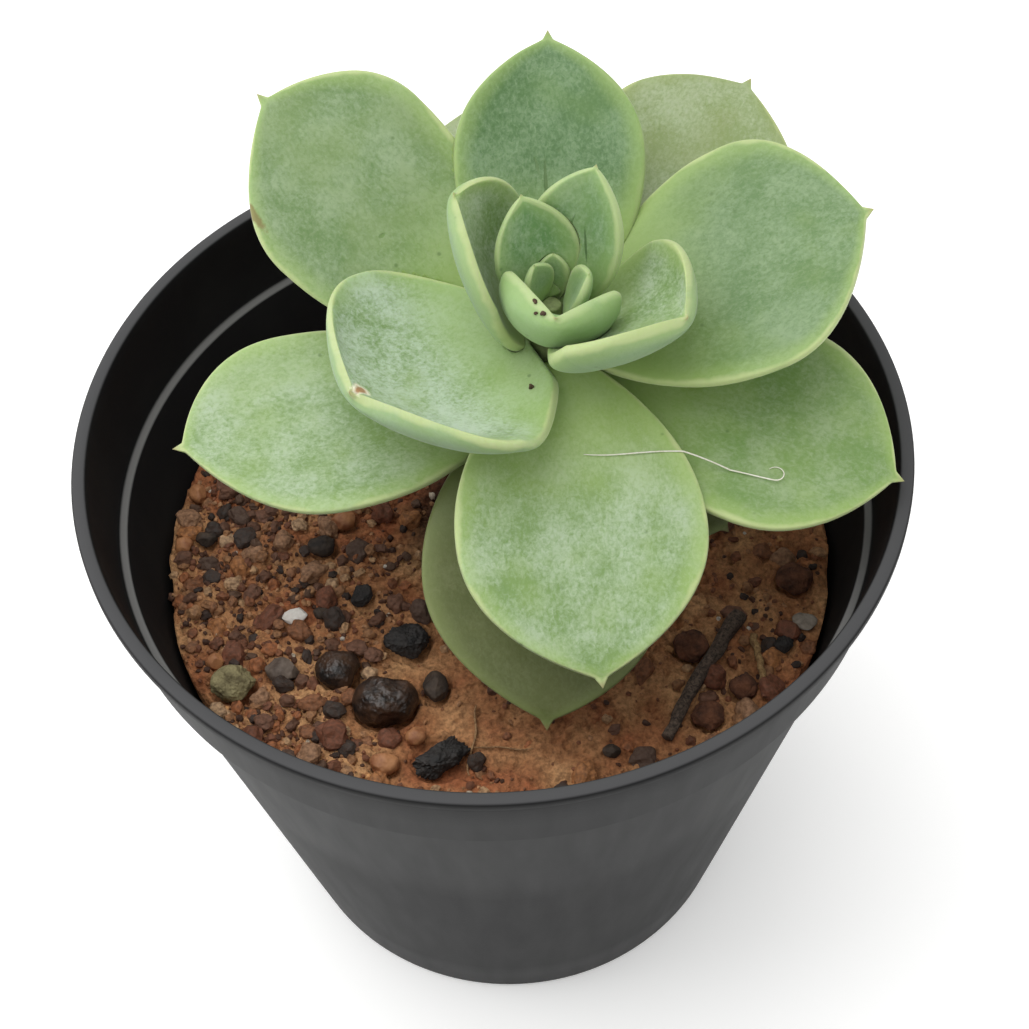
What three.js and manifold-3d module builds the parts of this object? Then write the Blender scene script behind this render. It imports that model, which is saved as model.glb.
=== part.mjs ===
// A potted rosette succulent: a round plastic nursery pot with gritty soil, loose stones, a short
// leaning stem and its thick waxy leaves. Millimetres, +Z up, origin at the centre of the pot's base.

import * as THREE from 'three';
import { mergeVertices } from 'three/addons/utils/BufferGeometryUtils.js';
import Module from 'manifold-3d';

const wasm = await Module();
wasm.setup();

// Gap kept between pieces that touch.
const clearance = 0.3;

// Pot: a tapered body, a shoulder, and a wider collar with a flat rim.
const potHeight = 92;
const rimRadius = 52.5;
const rimThickness = 1.6;
const rimOverhang = 0.9;
const rimWidth = 1.8;
const collarHeight = 12;
const collarTaper = 1.6;
const shoulderWidth = 1.3;
const baseRadius = 34;
const wallThickness = 1.1;
const floorThickness = 1.6;
const drainHoleCount = 6;
const drainHoleRadius = 3.5;
const drainRingRadius = 24;
const footBevel = { width: 1.5, height: 1.2 };
const lipBevel = 1;
const drainHoleSides = 12;
const potSegments = 44;

// Soil: how far its edge lies below the rim, and how much its middle rises and waves above that.
const soilDrop = 25;
const soilMound = 1.5;
const soilWave = 0.7;
const soilWaveAcross = 6;
const soilWaveDeep = 7;
const soilRings = 6;

// Stem, and the crown of leaves that leans towards -Y: the crown's place over the soil, and its height
// above the rim, which keeps the lowest leaves clear of the pot.
const crownOffset = { x: 8, y: 7, aboveRim: 3 };
const crownLean = 12;
const crownHeight = 17;
const stemRadius = 3.8;
const stemTipRadius = 1.3;
const stemUpright = 0.6;
const rootDepth = 12;
const rootShift = 1;
const stemSides = 16;
const stemRings = 12;

// Leaf blade, shared by every leaf.
const bladeEnd = 0.97;
const spineShare = 0.05;
const upperBulge = 0.35;
const lowerBulge = 0.65;
const outlineOpening = 0.8;
const outlineClosing = 2.3;
const outlineRounding = 0.85;
const rootCupShare = 0.55;
const tipThinning = 0.4;
const marginSharpness = 0.45;
const skinFullness = 0.75;
const leafRings = 10;
const leafSides = 10;
const ringCrowding = 1.35;

const plastic = { color: 0x47484a, roughness: 0.6 };
const earth = { color: 0x6e4a35, roughness: 1 };
const stemSkin = { color: 0x7a6a58, roughness: 0.9 };
const deadWood = { color: 0x6b5c4c, roughness: 0.9 };
const dryStraw = { color: 0x9a7d58, roughness: 0.9 };
const charcoal = { color: 0x2a2826, roughness: 0.9 };
const wetStone = { color: 0x352c27, roughness: 0.2 };
const darkStone = { color: 0x342d28, roughness: 0.8 };
const greyStone = { color: 0x6b5f57, roughness: 0.8 };
const brownStone = { color: 0x99663f, roughness: 0.8 };
const paleChip = { color: 0xd9d3cb, roughness: 0.8 };
const pumice = { color: 0x8f8460, roughness: 0.9 };
const clod = { color: 0x5c3c2a, roughness: 1 };
const waxyLeaf = { color: 0xa3bd8c, roughness: 0.55 };
const oliveLeaf = { color: 0x93a070, roughness: 0.6 };

// Each leaf: turn about the crown, seat height up it, blade length, width and thickness, rise at the
// root, curl gained by the tip, swerve and bank, cup (half the angle of the arc its width follows), the
// share of its length where it is widest, and the root's share of its width.
const leaves = [
  { name: 'leaf_back_low', turn: 100, seat: 0.5, length: 41, width: 28, thickness: 4,
    rise: -4, curl: 0, swerve: 0, bank: 0, cup: 12, widest: 0.54, root: 0.2, finish: oliveLeaf },
  { name: 'leaf_front_low', turn: 263, seat: 1, length: 41.5, width: 30, thickness: 4,
    rise: -14, curl: -8, swerve: 7, bank: 0, cup: 10, widest: 0.54, root: 0.2, finish: oliveLeaf },
  { name: 'leaf_front_right_low', turn: 315, seat: 1.5, length: 26.5, width: 22, thickness: 3.5,
    rise: -9, curl: -10, swerve: 0, bank: 0, cup: 12, widest: 0.6, root: 0.25, finish: oliveLeaf },
  { name: 'leaf_right_low', turn: 335, seat: 3.5, length: 42, width: 28, thickness: 4.5,
    rise: 7, curl: -12, swerve: 0, bank: 0, cup: 14, widest: 0.58, root: 0.2, finish: waxyLeaf },
  { name: 'leaf_back_right_low', turn: 48, seat: 3, length: 43, width: 30, thickness: 4,
    rise: 7, curl: 0, swerve: 12, bank: 0, cup: 12, widest: 0.62, root: 0.2, finish: oliveLeaf },
  { name: 'leaf_left_low', turn: 199, seat: 2, length: 44, width: 26, thickness: 4.5,
    rise: 4, curl: -10, swerve: -18, bank: 0, cup: 14, widest: 0.6, root: 0.2, finish: waxyLeaf },
  { name: 'leaf_back_left', turn: 144, seat: 4.5, length: 45, width: 27.5, thickness: 4.5,
    rise: 22, curl: -5, swerve: -10, bank: -16, cup: 14, widest: 0.64, root: 0.2, finish: waxyLeaf },
  { name: 'leaf_back', turn: 88, seat: 7, length: 36, width: 24, thickness: 4.5,
    rise: 24, curl: 0, swerve: 0, bank: 0, cup: 22, widest: 0.54, root: 0.2, finish: waxyLeaf },
  { name: 'leaf_right', turn: 10, seat: 7.5, length: 38.5, width: 31.5, thickness: 4.5,
    rise: 22, curl: -8, swerve: 8, bank: 0, cup: 18, widest: 0.6, root: 0.2, finish: waxyLeaf },
  { name: 'leaf_front', turn: 275, seat: 8, length: 40.5, width: 30, thickness: 4.5,
    rise: -2, curl: -12, swerve: 0, bank: 0, cup: 14, widest: 0.54, root: 0.2, finish: waxyLeaf },
  { name: 'cupped_leaf_left', turn: 210, seat: 10, length: 26.5, width: 36, thickness: 4.5,
    rise: -18, curl: 74, swerve: -10, bank: 10, cup: 42, widest: 0.5, root: 0.4, rounding: 0.45, finish: waxyLeaf },
  { name: 'inner_leaf_back_left', turn: 151, seat: 8.5, length: 22.5, width: 18, thickness: 4,
    rise: 52, curl: 20, swerve: -12, bank: 14, cup: 55, widest: 0.55, root: 0.4, rounding: 0.55, finish: waxyLeaf },
  { name: 'inner_leaf_right', turn: 334, seat: 12, length: 19.5, width: 24, thickness: 5,
    rise: 30, curl: 26, swerve: 0, bank: -14, cup: 58, widest: 0.5, root: 0.4, rounding: 0.55, finish: waxyLeaf },
  { name: 'inner_leaf_back', turn: 62, seat: 13.5, length: 19, width: 12.5, thickness: 4,
    rise: 55, curl: 8, swerve: 0, bank: 0, cup: 35, widest: 0.46, root: 0.3, finish: waxyLeaf },
  { name: 'heart_leaf_front', turn: 271, seat: 14.5, length: 11, width: 18, thickness: 5,
    rise: 60, curl: 14, swerve: 0, bank: -14, cup: 80, widest: 0.54, root: 0.3, finish: waxyLeaf },
  { name: 'heart_leaf_back', turn: 110, seat: 15.5, length: 14, width: 11, thickness: 3,
    rise: 54, curl: 8, swerve: 0, bank: 0, cup: 35, widest: 0.42, root: 0.3, finish: waxyLeaf },
  { name: 'bud_leaf_right', turn: 355, seat: 16, length: 8.5, width: 6, thickness: 3.6,
    rise: 66, curl: 12, swerve: 0, bank: 0, cup: 30, widest: 0.5, root: 0.3, finish: waxyLeaf },
  { name: 'bud_leaf_left', turn: 135, seat: 16.2, length: 6.6, width: 4.8, thickness: 3,
    rise: 75, curl: 10, swerve: 0, bank: 0, cup: 30, widest: 0.5, root: 0.3, finish: waxyLeaf },
  { name: 'bud_leaf_back', turn: 85, seat: 14.5, length: 7.4, width: 4.2, thickness: 2.8,
    rise: 66, curl: 15, swerve: 0, bank: 0, cup: 30, widest: 0.5, root: 0.3, finish: waxyLeaf },
];

// Each stone: its angle about the pot and its place out towards the soil's edge, as a share; its size
// along x, y and z, turn about z, how uneven it is, and the share of its height that is buried. One that
// lies beside another is shifted from that one's place instead.
const stones = [
  { name: 'wet_pebble', angle: 238, out: 0.63, size: [8.5, 7.6, 6.6],
    turn: 10, rough: 0.04, buried: 0.4, finish: wetStone },
  { name: 'round_pebble', angle: 222, out: 0.63, size: [6.2, 6, 5.2],
    turn: 40, rough: 0.04, buried: 0.4, finish: wetStone },
  { name: 'charcoal_lump', angle: 232, out: 0.43, size: [6.4, 5.2, 4.2],
    turn: 20, rough: 0.18, buried: 0.35, finish: charcoal },
  { name: 'dark_pebble', angle: 249, out: 0.53, size: [3.4, 4.6, 3.4],
    turn: 15, rough: 0.1, buried: 0.35, finish: darkStone },
  { name: 'pumice_stone', angle: 210, out: 0.89, size: [6.2, 5, 4.6],
    turn: 15, rough: 0.12, buried: 0.35, finish: pumice },
  { name: 'grey_pebble', angle: 213, out: 0.75, size: [4.8, 3.6, 3.4],
    turn: -10, rough: 0.1, buried: 0.4, finish: greyStone },
  { name: 'white_chip', angle: 200, out: 0.64, size: [4, 2.8, 1.2],
    turn: 15, rough: 0.12, buried: 0.3, finish: paleChip },
  { name: 'black_grain', beside: 'white_chip', shift: [3.6, 0], size: [2.6, 1.8, 1.8],
    turn: 20, rough: 0.1, buried: 0.3, finish: darkStone },
  { name: 'charcoal_flake', angle: 203, out: 0.44, size: [3, 4, 2.2],
    turn: -15, rough: 0.16, buried: 0.4, finish: charcoal },
  { name: 'olive_pebble', angle: 178, out: 0.52, size: [4.4, 3.4, 3],
    turn: 20, rough: 0.1, buried: 0.4, finish: darkStone },
  { name: 'ochre_pebble', angle: 167, out: 0.47, size: [3.6, 3.2, 2.8],
    turn: 0, rough: 0.12, buried: 0.4, finish: brownStone },
  { name: 'orange_grit', angle: 204, out: 0.90, size: [2.4, 2.2, 2.4],
    turn: 25, rough: 0.14, buried: 0.3, finish: brownStone },
  { name: 'tan_grit', angle: 177, out: 0.94, size: [2.8, 2.6, 2.6],
    turn: 0, rough: 0.1, buried: 0.3, finish: brownStone },
  { name: 'dark_grit', beside: 'tan_grit', shift: [3, 1], size: [3, 2.4, 2.4],
    turn: 10, rough: 0.12, buried: 0.3, finish: darkStone },
  { name: 'red_grit', angle: 165, out: 0.94, size: [2.6, 3, 2.6],
    turn: 20, rough: 0.12, buried: 0.3, finish: brownStone },
  { name: 'brown_pebble', angle: 245, out: 0.80, size: [4, 3.2, 3],
    turn: -10, rough: 0.1, buried: 0.4, finish: brownStone },
  { name: 'rust_grit', angle: 249, out: 0.69, size: [2.8, 2.4, 2.4],
    turn: 30, rough: 0.12, buried: 0.35, finish: brownStone },
  { name: 'charcoal_slab', angle: 256, out: 0.74, size: [9.4, 3.8, 3.6],
    turn: 36, rough: 0.14, buried: 0.35, finish: charcoal },
  { name: 'round_lump', angle: 324, out: 0.67, size: [4.6, 4.4, 4],
    turn: 0, rough: 0.08, buried: 0.4, finish: clod },
  { name: 'brown_lump', angle: 322, out: 0.86, size: [3.6, 3.4, 3.2],
    turn: 30, rough: 0.1, buried: 0.4, finish: clod },
  { name: 'red_clod', angle: 313, out: 0.84, size: [4.6, 4, 3],
    turn: 20, rough: 0.14, buried: 0.4, finish: clod },
  { name: 'wall_clod', angle: 349, out: 0.88, size: [5, 4.4, 3.8],
    turn: -20, rough: 0.14, buried: 0.4, finish: clod },
  { name: 'charcoal_bit', angle: 334, out: 0.90, size: [3.2, 2.4, 2.2],
    turn: 40, rough: 0.16, buried: 0.35, finish: charcoal },
  { name: 'bark_chip', angle: 340, out: 0.93, size: [3.6, 2.6, 1.4],
    turn: -20, rough: 0.14, buried: 0.2, finish: deadWood },
  { name: 'dark_seed', angle: 292, out: 0.78, size: [2.4, 1.8, 1.8],
    turn: -15, rough: 0.04, buried: 0.3, finish: darkStone },
];
const stoneDetail = 1;

// Twig and straw that lie on the soil. Each point of the middle line is an angle about the pot and a
// share of the way out to the soil's edge; `lift` is its height above the soil.
const twig = { radius: 0.8, sides: 8, steps: 14, lift: 1.2,
  points: [[336.5, 0.75], [326, 0.75], [318, 0.76], [309.5, 0.79], [302.5, 0.83]] };
const straw = { radius: 0.4, sides: 6, steps: 6, lift: 0.8,
  points: [[333.5, 0.81], [328.5, 0.86], [323.5, 0.92]] };

const degrees = THREE.MathUtils.degToRad;
const clamp = THREE.MathUtils.clamp;
const upward = new THREE.Vector3(0, 0, 1);
const rightward = new THREE.Vector3(1, 0, 0);

function piece(name, geometry, finish) {
  const mesh = new THREE.Mesh(geometry, new THREE.MeshStandardMaterial({ metalness: 0, ...finish }));
  mesh.name = name;
  return mesh;
}

// Closed geometry to manifold solid and back.
function solidOf(geometry) {
  const bare = geometry.clone();
  bare.deleteAttribute('normal');
  bare.deleteAttribute('uv');
  const merged = mergeVertices(bare, 1e-4);
  const vertProperties = new Float32Array(merged.attributes.position.array);
  const triVerts = new Uint32Array(merged.index.array);
  return new wasm.Manifold(new wasm.Mesh({ numProp: 3, vertProperties, triVerts }));
}

function geometryOf(solid) {
  const mesh = solid.getMesh();
  const geometry = new THREE.BufferGeometry();
  geometry.setAttribute('position', new THREE.BufferAttribute(new Float32Array(mesh.vertProperties), 3));
  geometry.setIndex(new THREE.BufferAttribute(new Uint32Array(mesh.triVerts), 1));
  geometry.computeVertexNormals();
  return geometry;
}

// Closed skin through rings of points, with one point at each end.
function skinOfRings(start, rings, end) {
  const positions = [start, ...rings.flat(), end].flatMap((p) => [p.x, p.y, p.z]);
  const sides = rings[0].length;
  const last = positions.length / 3 - 1;
  const index = [];
  for (let k = 0; k < sides; k += 1) {
    const next = (k + 1) % sides;
    index.push(0, 1 + next, 1 + k);
    for (let r = 0; r < rings.length - 1; r += 1) {
      const a = 1 + r * sides + k;
      const b = 1 + r * sides + next;
      index.push(a, b, b + sides, a, b + sides, a + sides);
    }
    const final = 1 + (rings.length - 1) * sides;
    index.push(final + k, final + next, last);
  }
  const geometry = new THREE.BufferGeometry();
  geometry.setAttribute('position', new THREE.Float32BufferAttribute(positions, 3));
  geometry.setIndex(index);
  geometry.computeVertexNormals();
  return geometry;
}

// Pot wall: outer radius of the body at a height, and the collar above it.
const collarBottom = potHeight - rimThickness - collarHeight;
const collarTopRadius = rimRadius - rimOverhang;
const collarBottomRadius = collarTopRadius - collarTaper;
const bodyTopRadius = collarBottomRadius - shoulderWidth;

const ledge = collarBottom + wallThickness;

function bodyRadius(z) {
  return baseRadius + (bodyTopRadius - baseRadius) * z / collarBottom;
}

// Inner radius of the body, on the straight wall from the floor to the ledge inside the collar.
const innerFootRadius = bodyRadius(floorThickness) - wallThickness;
const innerTopRadius = bodyTopRadius - wallThickness;

function innerRadius(z) {
  const share = (z - floorThickness) / (ledge - floorThickness);
  return innerFootRadius + (innerTopRadius - innerFootRadius) * share;
}

function potGeometry() {
  const rimBottom = potHeight - rimThickness;
  const rimInner = rimRadius - rimWidth;
  const profile = [
    [0, 0],
    [baseRadius - footBevel.width, 0],
    [bodyRadius(footBevel.height), footBevel.height],
    [bodyTopRadius, collarBottom],
    [collarBottomRadius, collarBottom],
    [collarTopRadius, rimBottom - lipBevel],
    [rimRadius, rimBottom],
    [rimRadius, potHeight],
    [rimInner, potHeight],
    [rimInner - rimOverhang / 3, rimBottom],
    [collarBottomRadius - wallThickness, ledge],
    [innerTopRadius, ledge],
    [innerFootRadius, floorThickness],
    [0, floorThickness],
  ].map(([r, z]) => new THREE.Vector2(r, z));
  const lathe = new THREE.LatheGeometry(profile, potSegments);
  lathe.rotateX(Math.PI / 2);
  let solid = solidOf(lathe);
  for (let k = 0; k < drainHoleCount; k += 1) {
    const drill = [drainHoleRadius, drainHoleRadius, 4 * floorThickness, drainHoleSides];
    const hole = new THREE.CylinderGeometry(...drill);
    hole.rotateX(Math.PI / 2);
    hole.translate(drainRingRadius, 0, 0);
    hole.rotateZ(2 * Math.PI * k / drainHoleCount);
    solid = solid.subtract(solidOf(hole));
  }
  return geometryOf(solid);
}

// Height of the soil's top: a low mound with shallow hollows, level at the wall.
const soilLevel = potHeight - soilDrop;

function soilHeight(x, y) {
  const share = clamp(Math.hypot(x, y) / innerRadius(soilLevel), 0, 1);
  const hollows = soilWave * Math.sin(x / soilWaveAcross) * Math.sin(y / soilWaveDeep);
  return soilLevel + (1 - share ** 2) * (soilMound + hollows);
}

function soilGeometry() {
  const wallAt = (z) => innerRadius(z) - clearance;
  const bottom = floorThickness + clearance;
  const ringAt = (radius, heightOf) => Array.from({ length: potSegments }, (_, k) => {
    const angle = 2 * Math.PI * k / potSegments;
    const x = radius * Math.cos(angle);
    const y = radius * Math.sin(angle);
    return new THREE.Vector3(x, y, heightOf(x, y));
  });
  const rings = [ringAt(wallAt(bottom), () => bottom)];
  for (let r = soilRings; r > 0; r -= 1) {
    rings.push(ringAt(wallAt(soilLevel) * r / soilRings, soilHeight));
  }
  const top = new THREE.Vector3(0, 0, soilHeight(0, 0));
  return skinOfRings(new THREE.Vector3(0, 0, bottom), rings, top);
}

// Point on the soil's top, `lift` above it.
function soilPoint(angle, out, lift) {
  const radius = out * innerRadius(soilLevel);
  const x = radius * Math.cos(degrees(angle));
  const y = radius * Math.sin(degrees(angle));
  return new THREE.Vector3(x, y, soilHeight(x, y) + lift);
}

function stonePlace(stone) {
  const lift = stone.size[2] * (0.5 - stone.buried);
  if (!stone.beside) return soilPoint(stone.angle, stone.out, lift);
  const other = stonePlace(stones.find(({ name }) => name === stone.beside));
  const [x, y] = [other.x + stone.shift[0], other.y + stone.shift[1]];
  return new THREE.Vector3(x, y, soilHeight(x, y) + lift);
}

// A stone grown by some margin, set into the soil.
function stoneGeometry(stone, margin) {
  const geometry = mergeVertices(bareSphere());
  const positions = geometry.attributes.position;
  const point = new THREE.Vector3();
  const half = stone.size.map((s) => s / 2 + margin);
  for (let i = 0; i < positions.count; i += 1) {
    point.fromBufferAttribute(positions, i).normalize();
    const waves = Math.sin(5 * point.x + stone.turn) + Math.sin(4 * point.y) + Math.sin(6 * point.z);
    const swell = 1 + stone.rough * waves / 2;
    positions.setXYZ(i, point.x * half[0] * swell, point.y * half[1] * swell, point.z * half[2] * swell);
  }
  geometry.rotateZ(degrees(stone.turn));
  const centre = stonePlace(stone);
  geometry.translate(centre.x, centre.y, centre.z);
  geometry.computeVertexNormals();
  return geometry;
}

function bareSphere() {
  const sphere = new THREE.IcosahedronGeometry(1, stoneDetail);
  sphere.deleteAttribute('normal');
  sphere.deleteAttribute('uv');
  return sphere;
}

// A thin stick that lies along its points.
function stickGeometry(stick) {
  const points = stick.points.map(([angle, out]) => soilPoint(angle, out, stick.lift));
  const corners = Array.from({ length: stick.sides }, (_, k) => {
    const angle = 2 * Math.PI * k / stick.sides;
    return new THREE.Vector2(stick.radius * Math.cos(angle), stick.radius * Math.sin(angle));
  });
  return new THREE.ExtrudeGeometry(new THREE.Shape(corners), {
    steps: stick.steps,
    curveSegments: 1,
    extrudePath: new THREE.CatmullRomCurve3(points),
  });
}

// Stem radius at a height up the crown.
function crownRadius(seat) {
  const share = clamp(seat / crownHeight, 0, 1);
  return stemRadius + (stemTipRadius - stemRadius) * share ** 2;
}

// Middle line of the stem: upright in the soil, then along the leaning crown.
const crownPlace = new THREE.Vector3(crownOffset.x, crownOffset.y, potHeight + crownOffset.aboveRim);
const crownAxis = new THREE.Vector3(0, -Math.sin(degrees(crownLean)), Math.cos(degrees(crownLean)));

function stemGeometry(margin) {
  const stemHeight = crownPlace.z - soilLevel;
  const foot = crownPlace.clone().addScaledVector(crownAxis, -stemHeight * stemUpright);
  const buried = new THREE.Vector3(foot.x, foot.y + rootShift, soilLevel - rootDepth);
  const tip = crownPlace.clone().addScaledVector(crownAxis, crownHeight);
  const line = new THREE.CatmullRomCurve3([buried, foot, crownPlace, tip]);
  const rings = [];
  for (let r = 0; r <= stemRings; r += 1) {
    const centre = line.getPointAt(r / stemRings);
    const forward = new THREE.Vector3().crossVectors(line.getTangentAt(r / stemRings), rightward).normalize();
    const seat = centre.clone().sub(crownPlace).dot(crownAxis);
    const radius = crownRadius(seat) + margin;
    const ring = [];
    for (let k = 0; k < stemSides; k += 1) {
      const angle = 2 * Math.PI * k / stemSides;
      const point = centre.clone().addScaledVector(rightward, radius * Math.cos(angle));
      ring.push(point.addScaledVector(forward, radius * Math.sin(angle)));
    }
    rings.push(ring);
  }
  return skinOfRings(line.getPointAt(0), rings, line.getPointAt(1));
}

// Half width of the blade as a share of its widest half, at share t of its length.
function bladeShare(t, { widest, root, rounding = outlineRounding }) {
  const opening = Math.sin(Math.PI / 2 * Math.min(t / widest, 1)) ** outlineOpening;
  const body = root + (1 - root) * opening;
  const closing = clamp((t - widest) / (bladeEnd - widest), 0, 1);
  const rounded = (1 - closing ** outlineClosing) ** rounding;
  const spine = t > widest ? spineShare * Math.min((1 - t) / (1 - bladeEnd), 1) : 0;
  return Math.hypot(body * rounded, spine);
}

// One point of a leaf's skin, in the frame of the crown.
function leafPoint(leaf, margin, t, around) {
  const rise = degrees(leaf.rise);
  const bend = degrees(leaf.curl) || 1e-4;
  const angle = rise + bend * t;
  const along = leaf.length * (Math.sin(angle) - Math.sin(rise)) / bend;
  const up = leaf.length * (Math.cos(rise) - Math.cos(angle)) / bend;
  const half = leaf.width / 2 * bladeShare(t, leaf);
  const cup = degrees(leaf.cup) * (rootCupShare + (1 - rootCupShare) * Math.min(t * 2, 1));
  const lean = cup * Math.cos(around);
  const edge = half / (half + marginSharpness * leaf.thickness);
  const thick = leaf.thickness * (1 - tipThinning * t) * edge;
  const side = Math.sin(around);
  const bulge = side > 0 ? upperBulge : lowerBulge;
  const skin = Math.sign(side) * (Math.abs(side) ** skinFullness * thick * bulge + margin * Math.abs(side));
  const reach = half / cup * Math.sin(lean) + margin * Math.cos(around);
  const across = reach - skin * Math.sin(lean);
  const lift = half * (1 - Math.cos(lean)) / cup + skin * Math.cos(lean);
  const bank = degrees(leaf.bank);
  const y = across * Math.cos(bank) - lift * Math.sin(bank);
  const z = across * Math.sin(bank) + lift * Math.cos(bank);
  const sway = leaf.length * degrees(leaf.swerve) * t * t / 2;
  const point = new THREE.Vector3(along - z * Math.sin(angle), y + sway, up + z * Math.cos(angle));
  point.x += crownRadius(leaf.seat) + clearance;
  point.applyAxisAngle(upward, degrees(leaf.turn));
  point.z += leaf.seat;
  return point;
}

function leafGeometry(leaf, margin) {
  const rings = [];
  for (let r = 0; r < leafRings; r += 1) {
    const t = 1 - (1 - r / leafRings) ** ringCrowding;
    rings.push(Array.from({ length: leafSides }, (_, k) => (
      leafPoint(leaf, margin, t, 2 * Math.PI * k / leafSides))));
  }
  const root = new THREE.Vector3();
  rings[0].forEach((p) => root.addScaledVector(p, 1 / leafSides));
  return skinOfRings(root, rings, leafPoint(leaf, 0, 1, 0));
}

const plant = new THREE.Group();
plant.add(piece('pot', potGeometry(), plastic));

let soil = solidOf(soilGeometry()).subtract(solidOf(stemGeometry(clearance)));
for (const stone of stones) {
  soil = soil.subtract(solidOf(stoneGeometry(stone, clearance)));
  plant.add(piece(stone.name, stoneGeometry(stone, 0), stone.finish));
}
plant.add(piece('soil', geometryOf(soil), earth));
plant.add(piece('stem', stemGeometry(0), stemSkin));
plant.add(piece('twig', stickGeometry(twig), deadWood));
plant.add(piece('straw', stickGeometry(straw), dryStraw));

// Leaves, lowest first; each gives way to the stem and to the leaves above it.
const crown = new THREE.Group();
crown.position.copy(crownPlace);
crown.rotation.x = degrees(crownLean);
crown.updateMatrix();
plant.add(crown);
const stemInCrown = solidOf(stemGeometry(clearance).applyMatrix4(crown.matrix.clone().invert()));
leaves.forEach((leaf, order) => {
  let solid = solidOf(leafGeometry(leaf, 0)).subtract(stemInCrown);
  for (const above of leaves.slice(order + 1)) {
    solid = solid.subtract(solidOf(leafGeometry(above, clearance)));
  }
  crown.add(piece(leaf.name, geometryOf(solid), leaf.finish));
});

export default plant;
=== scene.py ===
import math
import random

import bmesh
import bpy
import numpy as np
from mathutils import Matrix, Vector, noise
from mathutils.bvhtree import BVHTree


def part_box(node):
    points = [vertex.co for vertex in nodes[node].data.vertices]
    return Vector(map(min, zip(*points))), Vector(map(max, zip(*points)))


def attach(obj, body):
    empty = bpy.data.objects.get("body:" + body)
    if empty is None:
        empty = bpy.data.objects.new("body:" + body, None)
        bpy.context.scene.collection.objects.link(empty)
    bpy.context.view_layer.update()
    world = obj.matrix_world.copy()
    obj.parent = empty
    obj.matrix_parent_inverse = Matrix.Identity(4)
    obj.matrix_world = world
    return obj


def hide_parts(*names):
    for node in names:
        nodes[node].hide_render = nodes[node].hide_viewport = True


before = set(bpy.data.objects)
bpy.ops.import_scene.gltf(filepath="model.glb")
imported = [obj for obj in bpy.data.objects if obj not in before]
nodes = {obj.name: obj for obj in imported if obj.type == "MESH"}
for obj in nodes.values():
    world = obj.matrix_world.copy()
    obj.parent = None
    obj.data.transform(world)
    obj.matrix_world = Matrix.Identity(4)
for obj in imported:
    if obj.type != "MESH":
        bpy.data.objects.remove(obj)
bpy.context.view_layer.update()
print("frame loaded:", len(nodes), "nodes")


def mm(value):
    return value * 0.001


def linear(hexColour):  # sRGB hex to a linear colour with alpha
    channels = [int(hexColour[k:k + 2], 16) / 255 for k in (1, 3, 5)]
    return [c / 12.92 if c <= 0.04045 else ((c + 0.055) / 1.055) ** 2.4 for c in channels] + [1.0]


def addNode(tree, kind, inputs=None, **settings):  # a node with its settings, values and links
    node = tree.nodes.new(kind)
    for name, value in settings.items():
        setattr(node, name, value)
    for key, value in (inputs or {}).items():
        if isinstance(value, bpy.types.NodeSocket):
            tree.links.new(value, node.inputs[key])
        else:
            node.inputs[key].default_value = value
    return node


# In a colour Mix node, sockets 0, 6 and 7 are the factor and its two colours, and output 2 the result.
def newMaterial(name):  # an empty material, its tree, its shader and its object coordinates
    material = bpy.data.materials.new(name)
    material.use_nodes = True
    tree = material.node_tree
    tree.nodes.clear()
    shader = addNode(tree, "ShaderNodeBsdfPrincipled")
    addNode(tree, "ShaderNodeOutputMaterial", {"Surface": shader.outputs[0]})
    place = addNode(tree, "ShaderNodeTexCoord").outputs["Object"]
    return material, tree, shader, place


def newTree(name, sizes, whole=()):  # an empty geometry tree, its named inputs, its entry and exit
    tree = bpy.data.node_groups.new(name, "GeometryNodeTree")
    tree.interface.new_socket(name="Geometry", in_out="OUTPUT", socket_type="NodeSocketGeometry")
    tree.interface.new_socket(name="Geometry", in_out="INPUT", socket_type="NodeSocketGeometry")
    for size in sizes:
        kind = "NodeSocketInt" if size in whole else "NodeSocketFloat"
        tree.interface.new_socket(name=size, in_out="INPUT", socket_type=kind)
    tree.interface.new_socket(name="Finish", in_out="INPUT", socket_type="NodeSocketMaterial")
    entry = addNode(tree, "NodeGroupInput")
    leave = addNode(tree, "NodeGroupOutput")
    return tree, entry.outputs, leave


def grow(name, tree, values, base=None):  # runs a geometry tree and keeps its result as a plain mesh
    holder = bpy.data.objects.new(name, base or bpy.data.meshes.new(name))
    bpy.context.scene.collection.objects.link(holder)
    modifier = holder.modifiers.new("rule", "NODES")
    modifier.node_group = tree
    for item in tree.interface.items_tree:
        if item.in_out == "INPUT" and item.name in values:
            modifier[item.identifier] = values[item.name]
    bpy.context.view_layer.update()
    ready = holder.evaluated_get(bpy.context.evaluated_depsgraph_get())
    mesh = bpy.data.meshes.new_from_object(ready, preserve_all_data_layers=True,
                                           depsgraph=bpy.context.evaluated_depsgraph_get())
    bpy.data.objects.remove(holder)
    mesh.name = name
    return mesh


def place(name, mesh, slot, replaced=(), finish=None):  # a finished piece that rides on the one body
    piece = bpy.data.objects.new(name, mesh)
    bpy.context.scene.collection.objects.link(piece)
    if finish is not None:
        mesh.materials.clear()
        mesh.materials.append(finish)
    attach(piece, "root")
    if replaced:
        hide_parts(*replaced)
    return piece


def meshOf(name, points, faces, smooth=True):
    mesh = bpy.data.meshes.new(name)
    mesh.from_pydata([tuple(p) for p in points], [], faces)
    mesh.update()
    mesh.shade_smooth() if smooth else mesh.shade_flat()
    return mesh


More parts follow.
